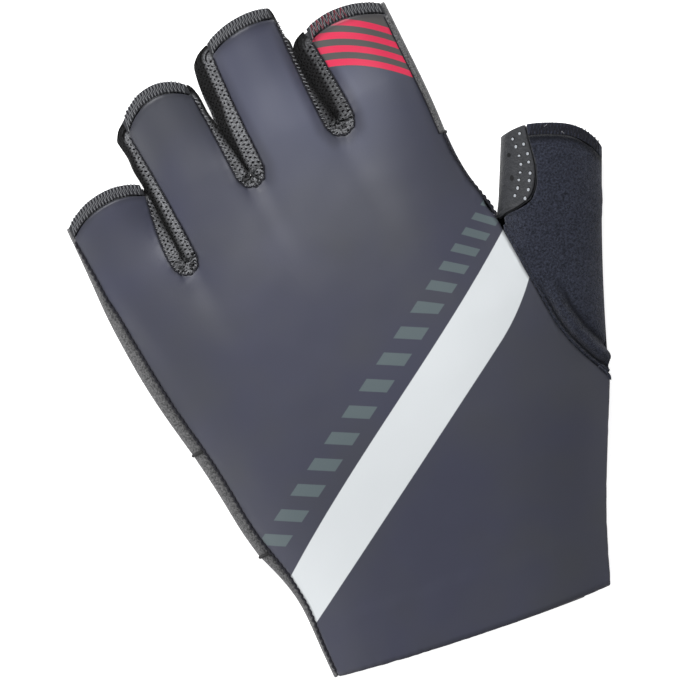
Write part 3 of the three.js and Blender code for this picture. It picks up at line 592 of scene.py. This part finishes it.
def waved(line, shift, lift, wave=SEAM_WAVE, pitch=SEAM_PITCH):
    """A line moved to its left and up, in millimetres, and waving from side to side."""
    phase = 2 * math.pi * np.arange(len(line)) * STEP / (pitch * MM)
    moved = line + left_of(line) * ((shift + wave * np.sin(phase)) * MM)[:, None]
    moved[:, 2] += lift * MM
    return moved


def flecks(line, shift, length):
    """Short stitches across a seam, all a little unlike."""
    sideways = left_of(line)
    ways = np.gradient(line, axis=0) / STEP
    stitches = []
    for i in range(2, len(line) - 2, round(FLECK_PITCH * MM / STEP)):
        loose = noise.noise(Vector(line[i]) / (FLECK_GRAIN * MM))
        middle = line[i] + sideways[i] * (shift + FLECK_STRAY * loose) * MM
        half = (sideways[i] + ways[i] * (FLECK_LEAN + loose)) * length * (0.5 + FLECK_UNLIKE * loose) * MM
        stitches.append([middle - half, middle, middle + half])
    return stitches


for k, slot in enumerate(SLOTS):
    thread("seam_" + slot, [waved(slot_edges[k], SEAM_SHIFT, SEAM_LIFT)], SEAM_THREAD * MM, dark_thread)
    bottom = int(np.argmin(slot_edges[k][:, 1]))
    ragged = flecks(slot_edges[k][:bottom], FLECK_SHIFTS[0], FLECK_LENGTHS[0])
    ragged += flecks(slot_edges[k][bottom:], FLECK_SHIFTS[1], FLECK_LENGTHS[1])
    thread("seam_flecks_" + slot, ragged, FLECK_THREAD * MM, pale_thread, 4)


# The strips down the little finger's side and beside the index are grey heather knit, cut as narrow bands and
# sewn between the back and the palm.
HEATHER_LIGHT = (0.17, 0.17, 0.174)
HEATHER_DARK = (0.03, 0.03, 0.032)
HEATHER_GRAINS = 2300
HEATHER_SHARE = (0.38, 0.62)
HEATHER_DEPTH = 0.2
SEAM_REACH = 0.6
heather = finish("heather", roughness=0.9, sheen=0.12)
heather_yarn = grains(heather, HEATHER_GRAINS, Detail=4.0, Roughness=0.7)
heather_shade = add(heather, "MapRange",
                    {0: heather_yarn.outputs["Fac"], 1: HEATHER_SHARE[0], 2: HEATHER_SHARE[1]})
coat(heather, colour_mix(heather, heather_shade.outputs[0], HEATHER_DARK, HEATHER_LIGHT),
     heather_yarn.outputs["Fac"], HEATHER_DEPTH)
for node in ("side_strip_upper", "side_strip_middle", "side_strip_lower", "index_side_upper"):
    strip = sewn_piece(node)
    dress(strip, heather)


def seam_between(node, other, reach=SEAM_REACH * MM):
    """The part of a piece's rim that lies beside another piece."""
    tree = tree_of(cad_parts[other])
    rim = evenly(rim_of(node), closed=True)
    return max(runs(rim, lambda point: tree.find_nearest(point, reach)[0] is not None), key=len)


# Where two lengths of strip meet, the join is closed by a bound seam, a raised bar of dark thread from the
# back's edge to the palm's.
CROSS_SEAM = 0.42
BINDING_GREY = (0.03, 0.03, 0.031)
CROSS_JOINS = [("side_strip_middle", "side_strip_upper"), ("side_strip_lower", "side_strip_middle"),
               ("index_side_upper", "index_side_lower")]
heather_thread = finish("heather_thread", roughness=0.9)
coat(heather_thread, BINDING_GREY)
for node, other in CROSS_JOINS:
    thread("join_of_" + node, [eased(seam_between(node, other), 3)], CROSS_SEAM * MM, heather_thread, 8)


# A dark bead lies in the seam between the back panel and the strips. It stands partly for the seam's
# shadow, painted as a dark cord in the gap, and partly for the stitches there, and it waves as they do.
SIDE_SHADOW_BEAD = 0.34
BEAD_SHIFT = 0.2
BEAD_SINK = 0.1
BEAD_WAVE = 0.17
PINKY_REACH = 14.0
CUFF_REACH = 11.5
INDEX_REACH = 3.5
INDEX_OVERRUN = 1.0
SLOT_CLEARANCE = 3.0
first_end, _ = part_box("finger_hem_pinky")


def beside_strip(point):
    near = point[0] < first_end.x + PINKY_REACH * MM
    return near and not beside_hem(point) and point[1] > packed_box[0].y + CUFF_REACH * MM


def beside_index(point):
    low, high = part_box("index_side_lower")
    return point[0] > low.x - INDEX_REACH * MM and low.y - INDEX_OVERRUN * MM < point[1] < high.y


def leftmost(point):
    clear = np.linalg.norm(slot_edges[0] - point, axis=1).min()
    return beside_strip(point) and clear > SLOT_CLEARANCE * MM


pinky_side = max(runs(back_rim, leftmost), key=len)
index_side = max(runs(back_rim, beside_index), key=len)
for name, line in (("pinky_side", pinky_side), ("index_side", index_side)):
    inward = np.sign(np.dot(left_of(line)[len(line) // 2], (1, 0, 0)))
    outward = -inward if name == "pinky_side" else inward
    # Painted shadow and stitches: a dark cord set just below the seam.
    bead = waved(line, BEAD_SHIFT * outward, -BEAD_SINK, BEAD_WAVE)
    thread("bead_" + name, [bead], SIDE_SHADOW_BEAD * MM, dark_thread, 6)


# Beside the index the heather strip's edge is rolled over the back's, and a dark line of stitches holds the
# roll down along its inner side.
ROLL = 0.62
ROLL_IN = 0.42
ROLL_SINK = 0.05
ROLL_END = 0.6
ROLL_HEM_REACH = 0.5
ROLL_SEAM = 0.2
ROLL_SEAM_SHARE = 0.55
ROLL_SEAM_WAVE = 0.06
ABOVE = 0.1


def beside_index_strip(point):
    low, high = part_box("index_side_upper")
    near = point[0] > low.x - INDEX_REACH * MM and not beside_hem(point, ROLL_HEM_REACH * MM)
    return near and low.y < point[1] < high.y - ROLL_END * MM


def spot_below(tree, x, y):
    """Where a line straight down from above first meets a piece, and the way its cloth faces there."""
    return tree.ray_cast(Vector((x, y, ABOVE)), Vector((0, 0, -1)))[:2]


rolled_edge = max(runs(back_rim, beside_index_strip), key=len)
inward = np.sign(-left_of(rolled_edge)[len(rolled_edge) // 2][0])
rolled_edge = eased(rolled_edge, 6)
thread("index_roll", [waved(rolled_edge, ROLL_IN * inward, -ROLL_SINK, 0.0)], ROLL * MM, heather, 12)
roll_seam = waved(rolled_edge, (ROLL_IN + ROLL_SEAM_SHARE * ROLL) * inward, 0.0, ROLL_SEAM_WAVE)
back_tree = tree_of(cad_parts["back_panel"])
roll_heights = [spot_below(back_tree, x, y)[0] for x, y, _ in roll_seam]
roll_seam[:, 2] = [hit.z if hit else place[2] for hit, place in zip(roll_heights, roll_seam)]
thread("index_roll_seam", [eased(roll_seam, 2)], ROLL_SEAM * MM, dark_thread, 6)


# The thumb's back is dark fleece, cut to a point at the wrist, and the same cloth edges the thumb's mouth
# and makes the narrow strip beside the index.
FLEECE_LIGHT = (0.049, 0.055, 0.083)
FLEECE_DARK = (0.004, 0.005, 0.009)
FLEECE_GRAINS = 2000
FLEECE_SHARE = (0.34, 0.68)
FLEECE_DEPTH = 0.6
fleece = finish("fleece", roughness=0.95, sheen=0.12, gloss=0.1)
fleece_pile = grains(fleece, FLEECE_GRAINS, Detail=4.0, Roughness=0.75)
fleece_shade = add(fleece, "MapRange",
                   {0: fleece_pile.outputs["Fac"], 1: FLEECE_SHARE[0], 2: FLEECE_SHARE[1]})
fleece_colour = colour_mix(fleece, fleece_shade.outputs[0], FLEECE_DARK, FLEECE_LIGHT)
# Painted shade: where the stored hollow share is high, the fleece is painted down to its darkest.
fleece_painted_shade = add(fleece, "Attribute", {}, attribute_name="hollow").outputs["Fac"]
fleece_colour = colour_mix(fleece, fleece_painted_shade, fleece_colour, FLEECE_DARK)
coat(fleece, fleece_colour, fleece_pile.outputs["Fac"], FLEECE_DEPTH)
for node in ("thumb_back", "thumb_hem", "index_side_lower"):
    piece = sewn_piece(node)
    dress(piece, fleece)

# The fleece's edge is turned under at the thumb's seam, and towards the wrist it rolls up in a soft ridge.
RIDGE_OFF = 2.9
RIDGE_WIDTH = 1.2
RIDGE_HEIGHT = 0.9
HOLLOW_DEPTH = 0.5
FLEECE_WAVE = 0.3
thumb_back = bpy.data.objects["thumb_back_cloth"]
thumb_seam = seam_between("thumb_back", "back_panel", 1.0 * MM)
if thumb_seam[0][1] < thumb_seam[-1][1]:
    thumb_seam = thumb_seam[::-1]
thumb_seam = evenly(thumb_seam)
places = points_of(thumb_back)
along, off = nearest_on(thumb_seam, places)
rolled = smooth(0.25, 0.5, along / (len(thumb_seam) * STEP)) * (places[:, 2] > 5 * MM)
rolled *= smooth(1.0, 0.93, along / (len(thumb_seam) * STEP))
bump_up = np.exp(-((off / MM - RIDGE_OFF) / RIDGE_WIDTH) ** 2)
hollow = np.exp(-((off / MM - 0.7) / 0.6) ** 2) + np.exp(-((off / MM - RIDGE_OFF - 2.1) / 0.8) ** 2)
rise = (RIDGE_HEIGHT * bump_up - HOLLOW_DEPTH * hollow) * rolled
loose = rough_at(places, 8 * MM, 2.3) + 0.4 * rough_at(places, 2.4 * MM, 6.1)
rise += FLEECE_WAVE * loose * smooth(0.5, 3, off / MM) * smooth(2, 5, places[:, 2] / MM)
reshape(thumb_back, places + normals_of(thumb_back) * (rise * MM)[:, None])
# Painted shade: the fleece is painted dark in the hollows on each side of the rolled ridge, and within two
# millimetres of the thumb's mouth, over the rounded edge below its hem.
mouth = tree_of(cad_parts["thumb_hem"])
mouth_off = np.array([mouth.find_nearest(point, 3 * MM)[3] or 3 * MM for point in places])
store(thumb_back, "hollow", np.clip(0.85 * hollow * rolled + 0.9 * smooth(2.2, 0.8, mouth_off / MM), 0, 1))
thread("bead_thumb", [waved(eased(thumb_seam, 3), 0.0, -0.1, 0.08, 1.9)], 0.42 * MM, fleece, 7)

# The thumb's palm side is perforated charcoal leather. It wraps up the thumb's left side and ends on top in a
# leaf-shaped flap.
thumb_leather = sewn_piece("thumb_palm")
dress(thumb_leather, palm_leather)

# A bead of fleece closes the seam where the thumb's foot meets the wrist, and the flap's cut edge is a little
# paler than its leather.
FOOT_REACH = 2.4
FOOT_GAP = 0.4
EDGE_GREY = (0.075, 0.078, 0.085)
FLAP_ABOVE = 9
FLAP_EDGE = 0.17
foot = np.array((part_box("back_panel")[1].x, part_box("thumb_back")[0].y))
foot_seam = max(runs(back_rim, lambda point: np.linalg.norm(point[:2] - foot) < FOOT_REACH * MM), key=len)
foot_seam = eased(foot_seam, 3)
foot_seam[:, 1] += FOOT_GAP * MM
thread("bead_foot", [foot_seam], 0.4 * MM, fleece, 7)
edge_leather = finish("edge_leather", roughness=0.6)
coat(edge_leather, EDGE_GREY)
flap_edge = seam_between("thumb_palm", "thumb_back", 0.9 * MM)
flap_edge = [point for point in flap_edge if point[2] > FLAP_ABOVE * MM]
thread("flap_edge", [np.array(flap_edge) + (0, 0, 0.05 * MM)], FLAP_EDGE * MM, edge_leather, 6)

# The flap is pierced with two curved rows of small round holes, which show the pale backing, and two larger
# ones. Each small hole has a painted shadow, a wider dark disc set a little off to one side. Each row runs
# through three points, across and up the picture in millimetres from its middle.
HOLE_ROWS = [
    {"points": ((43.2, 49.4), (45.4, 41.3), (44.4, 33.9)), "count": 8},
    {"points": ((41.3, 48.4), (43.2, 41.2), (41.8, 34.6)), "count": 8},
]
WIDE_HOLES = ((40.4, 44.3), (41.1, 38.7))
HOLE_SIZE = 0.34
WIDE_HOLE_SIZE = 0.6
HOLE_STRAY = 0.45
HOLE_PALE = (0.34, 0.36, 0.39)
hole_pale = finish("hole_pale", roughness=0.7)
coat(hole_pale, HOLE_PALE)
hole_dark = finish("hole_dark", roughness=0.7)
coat(hole_dark, HOLE_DARK)


def spot_on(piece_tree, across, up):
    place = PICTURE_MIDDLE + (picture_right * across + picture_up * up) * MM
    return spot_below(piece_tree, place.x, place.y)


def discs(name, spots, size, stretch, lift, material, shift=0.0, sides=10):
    """Small flat discs that lie on a piece, as one piece."""
    corners = []
    faces = []
    for place, normal in spots:
        across = picture_right.cross(normal).normalized()
        beside = normal.cross(across)
        loose = noise.noise_vector(place / (1.1 * MM))
        middle = place + normal * lift * MM + (beside - across) * shift * MM
        middle += (across * loose.x + beside * loose.y) * HOLE_STRAY * MM
        faces.append(tuple(range(len(corners), len(corners) + sides)))
        for k in range(sides):
            angle = 2 * math.pi * k / sides
            reach = across * math.cos(angle) * (stretch + 0.7 * loose.z) + beside * math.sin(angle)
            corners.append(middle + reach * size * MM)
    mesh = bpy.data.meshes.new(name)
    mesh.from_pydata([tuple(corner) for corner in corners], [], faces)
    mesh.materials.append(material)
    piece = bpy.data.objects.new(name, mesh)
    bpy.context.collection.objects.link(piece)
    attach(piece, "root")


leather_tree = tree_of(thumb_leather)
small = []
for row in HOLE_ROWS:
    first, middle, last = (Vector(point) for point in row["points"])
    for share in np.linspace(0, 1, row["count"]):
        curve = first * (1 - share) * (1 - 2 * share) + middle * 4 * share * (1 - share)
        spot = curve + last * share * (2 * share - 1)
        small.append(spot_on(leather_tree, spot.x, spot.y))
small = [hit for hit in small if hit[0] is not None]
wide = [spot_on(leather_tree, *point) for point in WIDE_HOLES]
wide = [hit for hit in wide if hit[0] is not None]
# Painted shadow: a wider dark disc under each small hole, set a little off its middle.
discs("flap_hole_shadows", small, HOLE_SIZE * 1.5, 1.0, 0.02, hole_dark, 0.08)
discs("flap_holes", small, HOLE_SIZE, 1.0, 0.04, hole_pale)
discs("flap_wide_holes", wide, WIDE_HOLE_SIZE, 1.3, 0.03, hole_dark)

# The finger ends are folded hems under coverstitch threads, which zigzag over the fold and make its edge
# ragged, a few of them red on the index. The thumb's mouth is overlocked the same way in dark thread.
HEM_GREY = (0.03, 0.031, 0.035)
STROKE_PITCH = 0.4
STROKE_LEAN = 0.3
STROKE_REACH = -0.05
STROKE_LAP = 0.15
STROKE_THREAD = 0.11
THUMB_THREAD = 0.12
THREAD_GREY = (0.17, 0.175, 0.186)
THREAD_RED = (0.2, 0.03, 0.045)
hem_cloth = finish("hem_cloth", roughness=0.9)
coat(hem_cloth, HEM_GREY)
grey_thread = finish("grey_thread", roughness=0.8, sheen=0.2)
coat(grey_thread, THREAD_GREY)


def zigzag(node, cloth, right, forward, start, pitch=STROKE_PITCH, lift=0.05):
    """A thread that zigzags over a hem, from its inner edge to just past its outer one."""
    tree = tree_of(cloth)
    rim = evenly(rim_of(node), closed=True)
    side = rim @ np.array(right)
    ahead = rim @ np.array(forward)
    turns = []
    steps = np.arange(side.min() + (0.5 + start) * MM, side.max() - 0.6 * MM, pitch * MM)
    for i, place in enumerate(steps):
        loose = noise.noise(Vector((place / (0.8 * MM), start, 2.7)))
        outer = i % 2 == 1
        place = min(place + STROKE_LEAN * MM, side.max() - 0.35 * MM) if outer else place
        near = np.abs(side - place) < 1.2 * STEP
        reach = (STROKE_REACH + 0.1 * loose) * MM
        forth = ahead[near].max() + reach if outer else ahead[near].min() - STROKE_LAP * MM
        turns.append(Vector(right) * place + Vector(forward) * forth)
    line = []
    height = rim[:, 2].max()
    for one, other in zip(turns, turns[1:]):
        for share in (0.0, 0.15, 0.3, 0.5, 0.7, 0.85):
            spot = one.lerp(other, share)
            hit = spot_below(tree, spot.x, spot.y)[0]
            if hit is not None:
                height = hit.z
            drop = 0 if hit is not None else 0.2 * MM
            line.append((spot.x, spot.y, height + lift * MM - drop))
    return line


RED_SHARE = 0.55
red_thread = finish("red_thread", roughness=0.8)
coat(red_thread, THREAD_RED)

for finger in FINGERS:
    hem = sewn_piece("finger_hem_" + finger)
    dress(hem, hem_cloth)
    for shade, start, material in (("pale", 0.0, grey_thread), ("dark", 0.22, dark_thread)):
        line = zigzag("finger_hem_" + finger, hem, (1, 0, 0), (0, 1, 0), start)
        thread("hem_" + shade + "_" + finger, [line], STROKE_THREAD * MM, material, 5)
line = zigzag("finger_hem_index", hem, (1, 0, 0), (0, 1, 0), 0.1, pitch=0.8, lift=0.08)
thread("hem_red_index", [line[:round(RED_SHARE * len(line))]], STROKE_THREAD * MM, red_thread, 5)
thumb_hem = bpy.data.objects["thumb_hem_cloth"]
line = zigzag("thumb_hem", thumb_hem, picture_right, picture_up, 0.2, pitch=0.4)
thread("hem_thumb", [line], THUMB_THREAD * MM, dark_thread, 5)
line = zigzag("thumb_hem", thumb_hem, picture_right, picture_up, 0.5, pitch=4.3)
thread("hem_thumb_pale", [line[k:k + 2] for k in range(4, len(line) - 2, 6)], THUMB_THREAD * MM,
       pale_thread, 5)


# The back panel is one cut of smooth matt stretch fabric, from the cuff to the four finger ends. Its white
# band, grey dashes and red stripes are printed on, and below the thumb it rolls round the wrist.
SLATE = (0.04, 0.043, 0.071)
SLATE_DARK = (0.036, 0.038, 0.064)
# The colour of the painted shade beside the seams.
SEAM_SHADE_SLATE = (0.014, 0.015, 0.022)
SLATE_WARM = (0.043, 0.0455, 0.06)
# Painted sheen: a paler slate over the knuckles, with its middle and reach.
SLATE_SHEEN = (0.082, 0.088, 0.13)
SHEEN_MIDDLE = (-6.0, 58.0)
SHEEN_REACH = 21.0
BAND_WHITE = (0.64, 0.67, 0.69)
DASH_GREY = (0.088, 0.116, 0.126)
STRIPE_RED = (0.63, 0.02, 0.074)
STRIPE_GROUND = (0.074, 0.069, 0.068)

back = sewn_piece("back_panel")
places = points_of(back)
_, rim_off = nearest_on(back_rim, places)

# The cloth lies softer than its pattern: away from the seams it is smoothed out where the fingers part.
SOFT_ROUNDS = 600
SOFT_FROM = 0.1
SOFT_TO = 1.2
knuckles = smooth(-10, 5, places[:, 1] / MM) * smooth(52, 40, places[:, 1] / MM)
soft = smooth(SOFT_FROM, SOFT_TO, rim_off / MM) * knuckles
group = back.vertex_groups.new(name="soft")
for i in np.flatnonzero(soft > 0.02):
    group.add([int(i)], float(soft[i]), "REPLACE")
softening = back.modifiers.new("softening", "SMOOTH")
softening.factor = 0.5
softening.iterations = SOFT_ROUNDS
softening.vertex_group = "soft"
graph = bpy.context.evaluated_depsgraph_get()
soft_mesh = bpy.data.meshes.new_from_object(back.evaluated_get(graph))
back.modifiers.clear()
back.vertex_groups.clear()
back.data = soft_mesh
places = points_of(back)

# Soft relief: slow waves in the cloth, puckers beside the seams, a few short creases that run out from the
# crotches, and the bonded hem of the cuff, which shows as a faint step.
WAVE_HEIGHT = 0.2
PUCKER = 0.1
CUFF_HEM = 13.0
CUFF_STEP = 0.07
CREASES = [
    {"slot": 0, "turn": 75, "length": 5.0, "depth": 0.08},
    {"slot": 2, "turn": 65, "length": 4.5, "depth": 0.06},
    {"slot": 2, "turn": 30, "length": 4.5, "depth": 0.05},
]
cuff_left = min(back_rim, key=lambda point: point[0] * 0.45 + point[1] * 0.89)
cuff_right = min(back_rim, key=lambda point: point[1] - point[0] * 0.4)
cuff_way = (cuff_right - cuff_left)[:2] / np.linalg.norm((cuff_right - cuff_left)[:2])
cuff_up = (places - cuff_left)[:, :2] @ np.array((-cuff_way[1], cuff_way[0])) / MM
relief = WAVE_HEIGHT * rough_at(places, 21 * MM, 3.1) + 0.05 * rough_at(places, 6.5 * MM, 5.4)
relief *= smooth(0, 5, rim_off / MM)
near_rim = rim_off < 3 * MM
puckers = np.zeros(len(places))
puckers[near_rim] = rough_at(places[near_rim], 1.5 * MM, 7.7)
relief += PUCKER * puckers * np.exp(-(rim_off / MM / 1.3) ** 2)
relief += CUFF_STEP * smooth(CUFF_HEM + 0.4, CUFF_HEM - 0.4, cuff_up)
relief += 0.05 * np.exp(-((cuff_up - CUFF_HEM) / 0.5) ** 2)
for crease in CREASES:
    edge = slot_edges[crease["slot"]]
    root = edge[np.argmin(edge[:, 1])]
    angle = math.radians(crease["turn"])
    way = np.array((-math.sin(angle), -math.cos(angle)))
    along = (places - root)[:, :2] @ way / MM
    beside = (places - root)[:, :2] @ np.array((-way[1], way[0])) / MM
    reach = smooth(0, 1, along) * smooth(crease["length"], 0.4 * crease["length"], along)
    relief -= crease["depth"] * reach * np.exp(-(beside / 0.55) ** 2)
outside = places[:, 2] > 3 * MM
reshape(back, places + normals_of(back) * (relief * outside * MM)[:, None])
# Painted shade: the cloth is painted darker within two millimetres of the finger hems and close along its rim,
# where the seams lie in shade.
hem_off = np.array([min((tree.find_nearest(point, 2 * MM)[3] or 2 * MM) for tree in hem_trees)
                    if point[1] > 45 * MM else 2 * MM for point in places])
hem_shade = smooth(1.9, 0.4, hem_off / MM)
rim_shade = smooth(0.6, 0.2, rim_off / MM)
store(back, "seam_shade", 0.8 * np.maximum(hem_shade, rim_shade))

# The print's own axes are the picture's: across to the right and up, in millimetres from the picture's
# middle.
flat = (places - np.array(PICTURE_MIDDLE)) / MM
across = flat @ np.array(picture_right)
up = flat @ np.array(picture_up)

# Painted sheen: the cloth is painted a shade paler over the two knuckles on the thumb's side.
sheen_off = np.hypot(across - SHEEN_MIDDLE[0], up - SHEEN_MIDDLE[1])
store(back, "painted_sheen", np.exp(-(sheen_off / SHEEN_REACH) ** 2) * smooth(0.5, 3.5, rim_off / MM))

# The band runs down to the left. Its two edges bend a little at its ends.
BAND_START = (14.4, -13.92)
BAND_SLOPE = math.radians(33.2)
BAND_WIDTH = 12.75
along_band = -(across - BAND_START[0]) * math.sin(BAND_SLOPE) - (up - BAND_START[1]) * math.cos(BAND_SLOPE)
off_band = (across - BAND_START[0]) * math.cos(BAND_SLOPE) - (up - BAND_START[1]) * math.sin(BAND_SLOPE)
band_left = 1.5 * (along_band / 49) ** 3 - 0.1
band_right = BAND_WIDTH - 1.9 * (np.minimum(along_band + 24, 0) / 14.4) ** 2
store(back, "band", np.minimum(off_band - band_left, band_right - off_band))

# The dashes lie in a row beside the band, closer together where the back curves down at its sides.
DASH_OFF = -6.36
DASH_WIDTH = 5.8
DASH_PITCH = 6.55
DASH_FILL = 0.46
down = -(up + 10.56) - (0.05 + 0.007 * np.maximum(0, -along_band - 22)) * (across - 2)
crowding = np.where(down < 0, 8e-6, 2.7e-6)
store(back, "dash_count", down / DASH_PITCH + crowding * down ** 3)
dash_side = DASH_WIDTH / 2 - np.abs(off_band - DASH_OFF)
dash_end = np.minimum(along_band + 51.5, 48 - along_band)
store(back, "dash_side", np.minimum(dash_side, dash_end))

# The stripes arch across the end of the index.
STRIPE_TOP = 76.2
STRIPE_PITCH = 3.18
STRIPE_FILL = 0.5
STRIPE_ARCH = 0.0142
arch_middle = -1 + (STRIPE_TOP - up) * 0.32
stripe_down = STRIPE_TOP - (up + STRIPE_ARCH * (across - arch_middle) ** 2)
store(back, "stripe_count", stripe_down / STRIPE_PITCH)
index_side = across + 11 - (73 - up) * 0.45
stripe_ends = np.minimum(3.3 * STRIPE_PITCH - stripe_down, stripe_down + 1.2 * STRIPE_PITCH)
store(back, "stripe_side", np.minimum(index_side, stripe_ends))
store(back, "stripe_red", stripe_down + 0.5 * STRIPE_PITCH)

stretch = finish("stretch", roughness=0.5, sheen=0.03, gloss=0.5)
EDGE = 0.08


def inside(name):
    """One where a kept number is above zero, with an edge as soft as the print's."""
    kept = add(stretch, "Attribute", {}, attribute_name=name).outputs["Fac"]
    return add(stretch, "MapRange", {0: kept, 1: -EDGE, 2: EDGE}).outputs[0]


def repeated(name, fill):
    """One near each whole number of a kept count, over a share of its pitch."""
    kept = add(stretch, "Attribute", {}, attribute_name=name).outputs["Fac"]
    off = add(stretch, "Math", {0: kept, 1: 0.5}, operation="PINGPONG").outputs[0]
    return add(stretch, "MapRange", {0: off, 1: fill / 2 + 0.015, 2: fill / 2 - 0.015}).outputs[0]


cloud = grains(stretch, 90, Detail=3.0).outputs["Fac"]
weave = grains(stretch, 2600, Detail=2.0).outputs["Fac"]
ground = colour_mix(stretch, cloud, SLATE_DARK, SLATE)
warmth = grains(stretch, 38, Detail=2.0).outputs["Fac"]
warmth = add(stretch, "MapRange", {0: warmth, 1: 0.4, 2: 0.7}).outputs[0]
ground = colour_mix(stretch, warmth, ground, SLATE_WARM)
# The painted sheen mixes a paler slate in over those knuckles.
painted_sheen = add(stretch, "Attribute", {}, attribute_name="painted_sheen").outputs["Fac"]
ground = colour_mix(stretch, painted_sheen, ground, SLATE_SHEEN)
dashes = maths(stretch, "MULTIPLY", repeated("dash_count", DASH_FILL), inside("dash_side"))
ground = colour_mix(stretch, dashes, ground, DASH_GREY)
ground = colour_mix(stretch, inside("band"), ground, BAND_WHITE)
stripe_red = maths(stretch, "MULTIPLY", repeated("stripe_count", STRIPE_FILL), inside("stripe_red"))
stripe_colour = colour_mix(stretch, stripe_red, STRIPE_GROUND, STRIPE_RED)
ground = colour_mix(stretch, inside("stripe_side"), ground, stripe_colour)
# Painted shade at the seams mixes the ground towards a deep slate.
seam_shade = add(stretch, "Attribute", {}, attribute_name="seam_shade").outputs["Fac"]
ground = colour_mix(stretch, maths(stretch, "MULTIPLY", seam_shade, 0.7), ground, SEAM_SHADE_SLATE)
coat(stretch, ground, weave, 0.012)
dress(back, stretch)
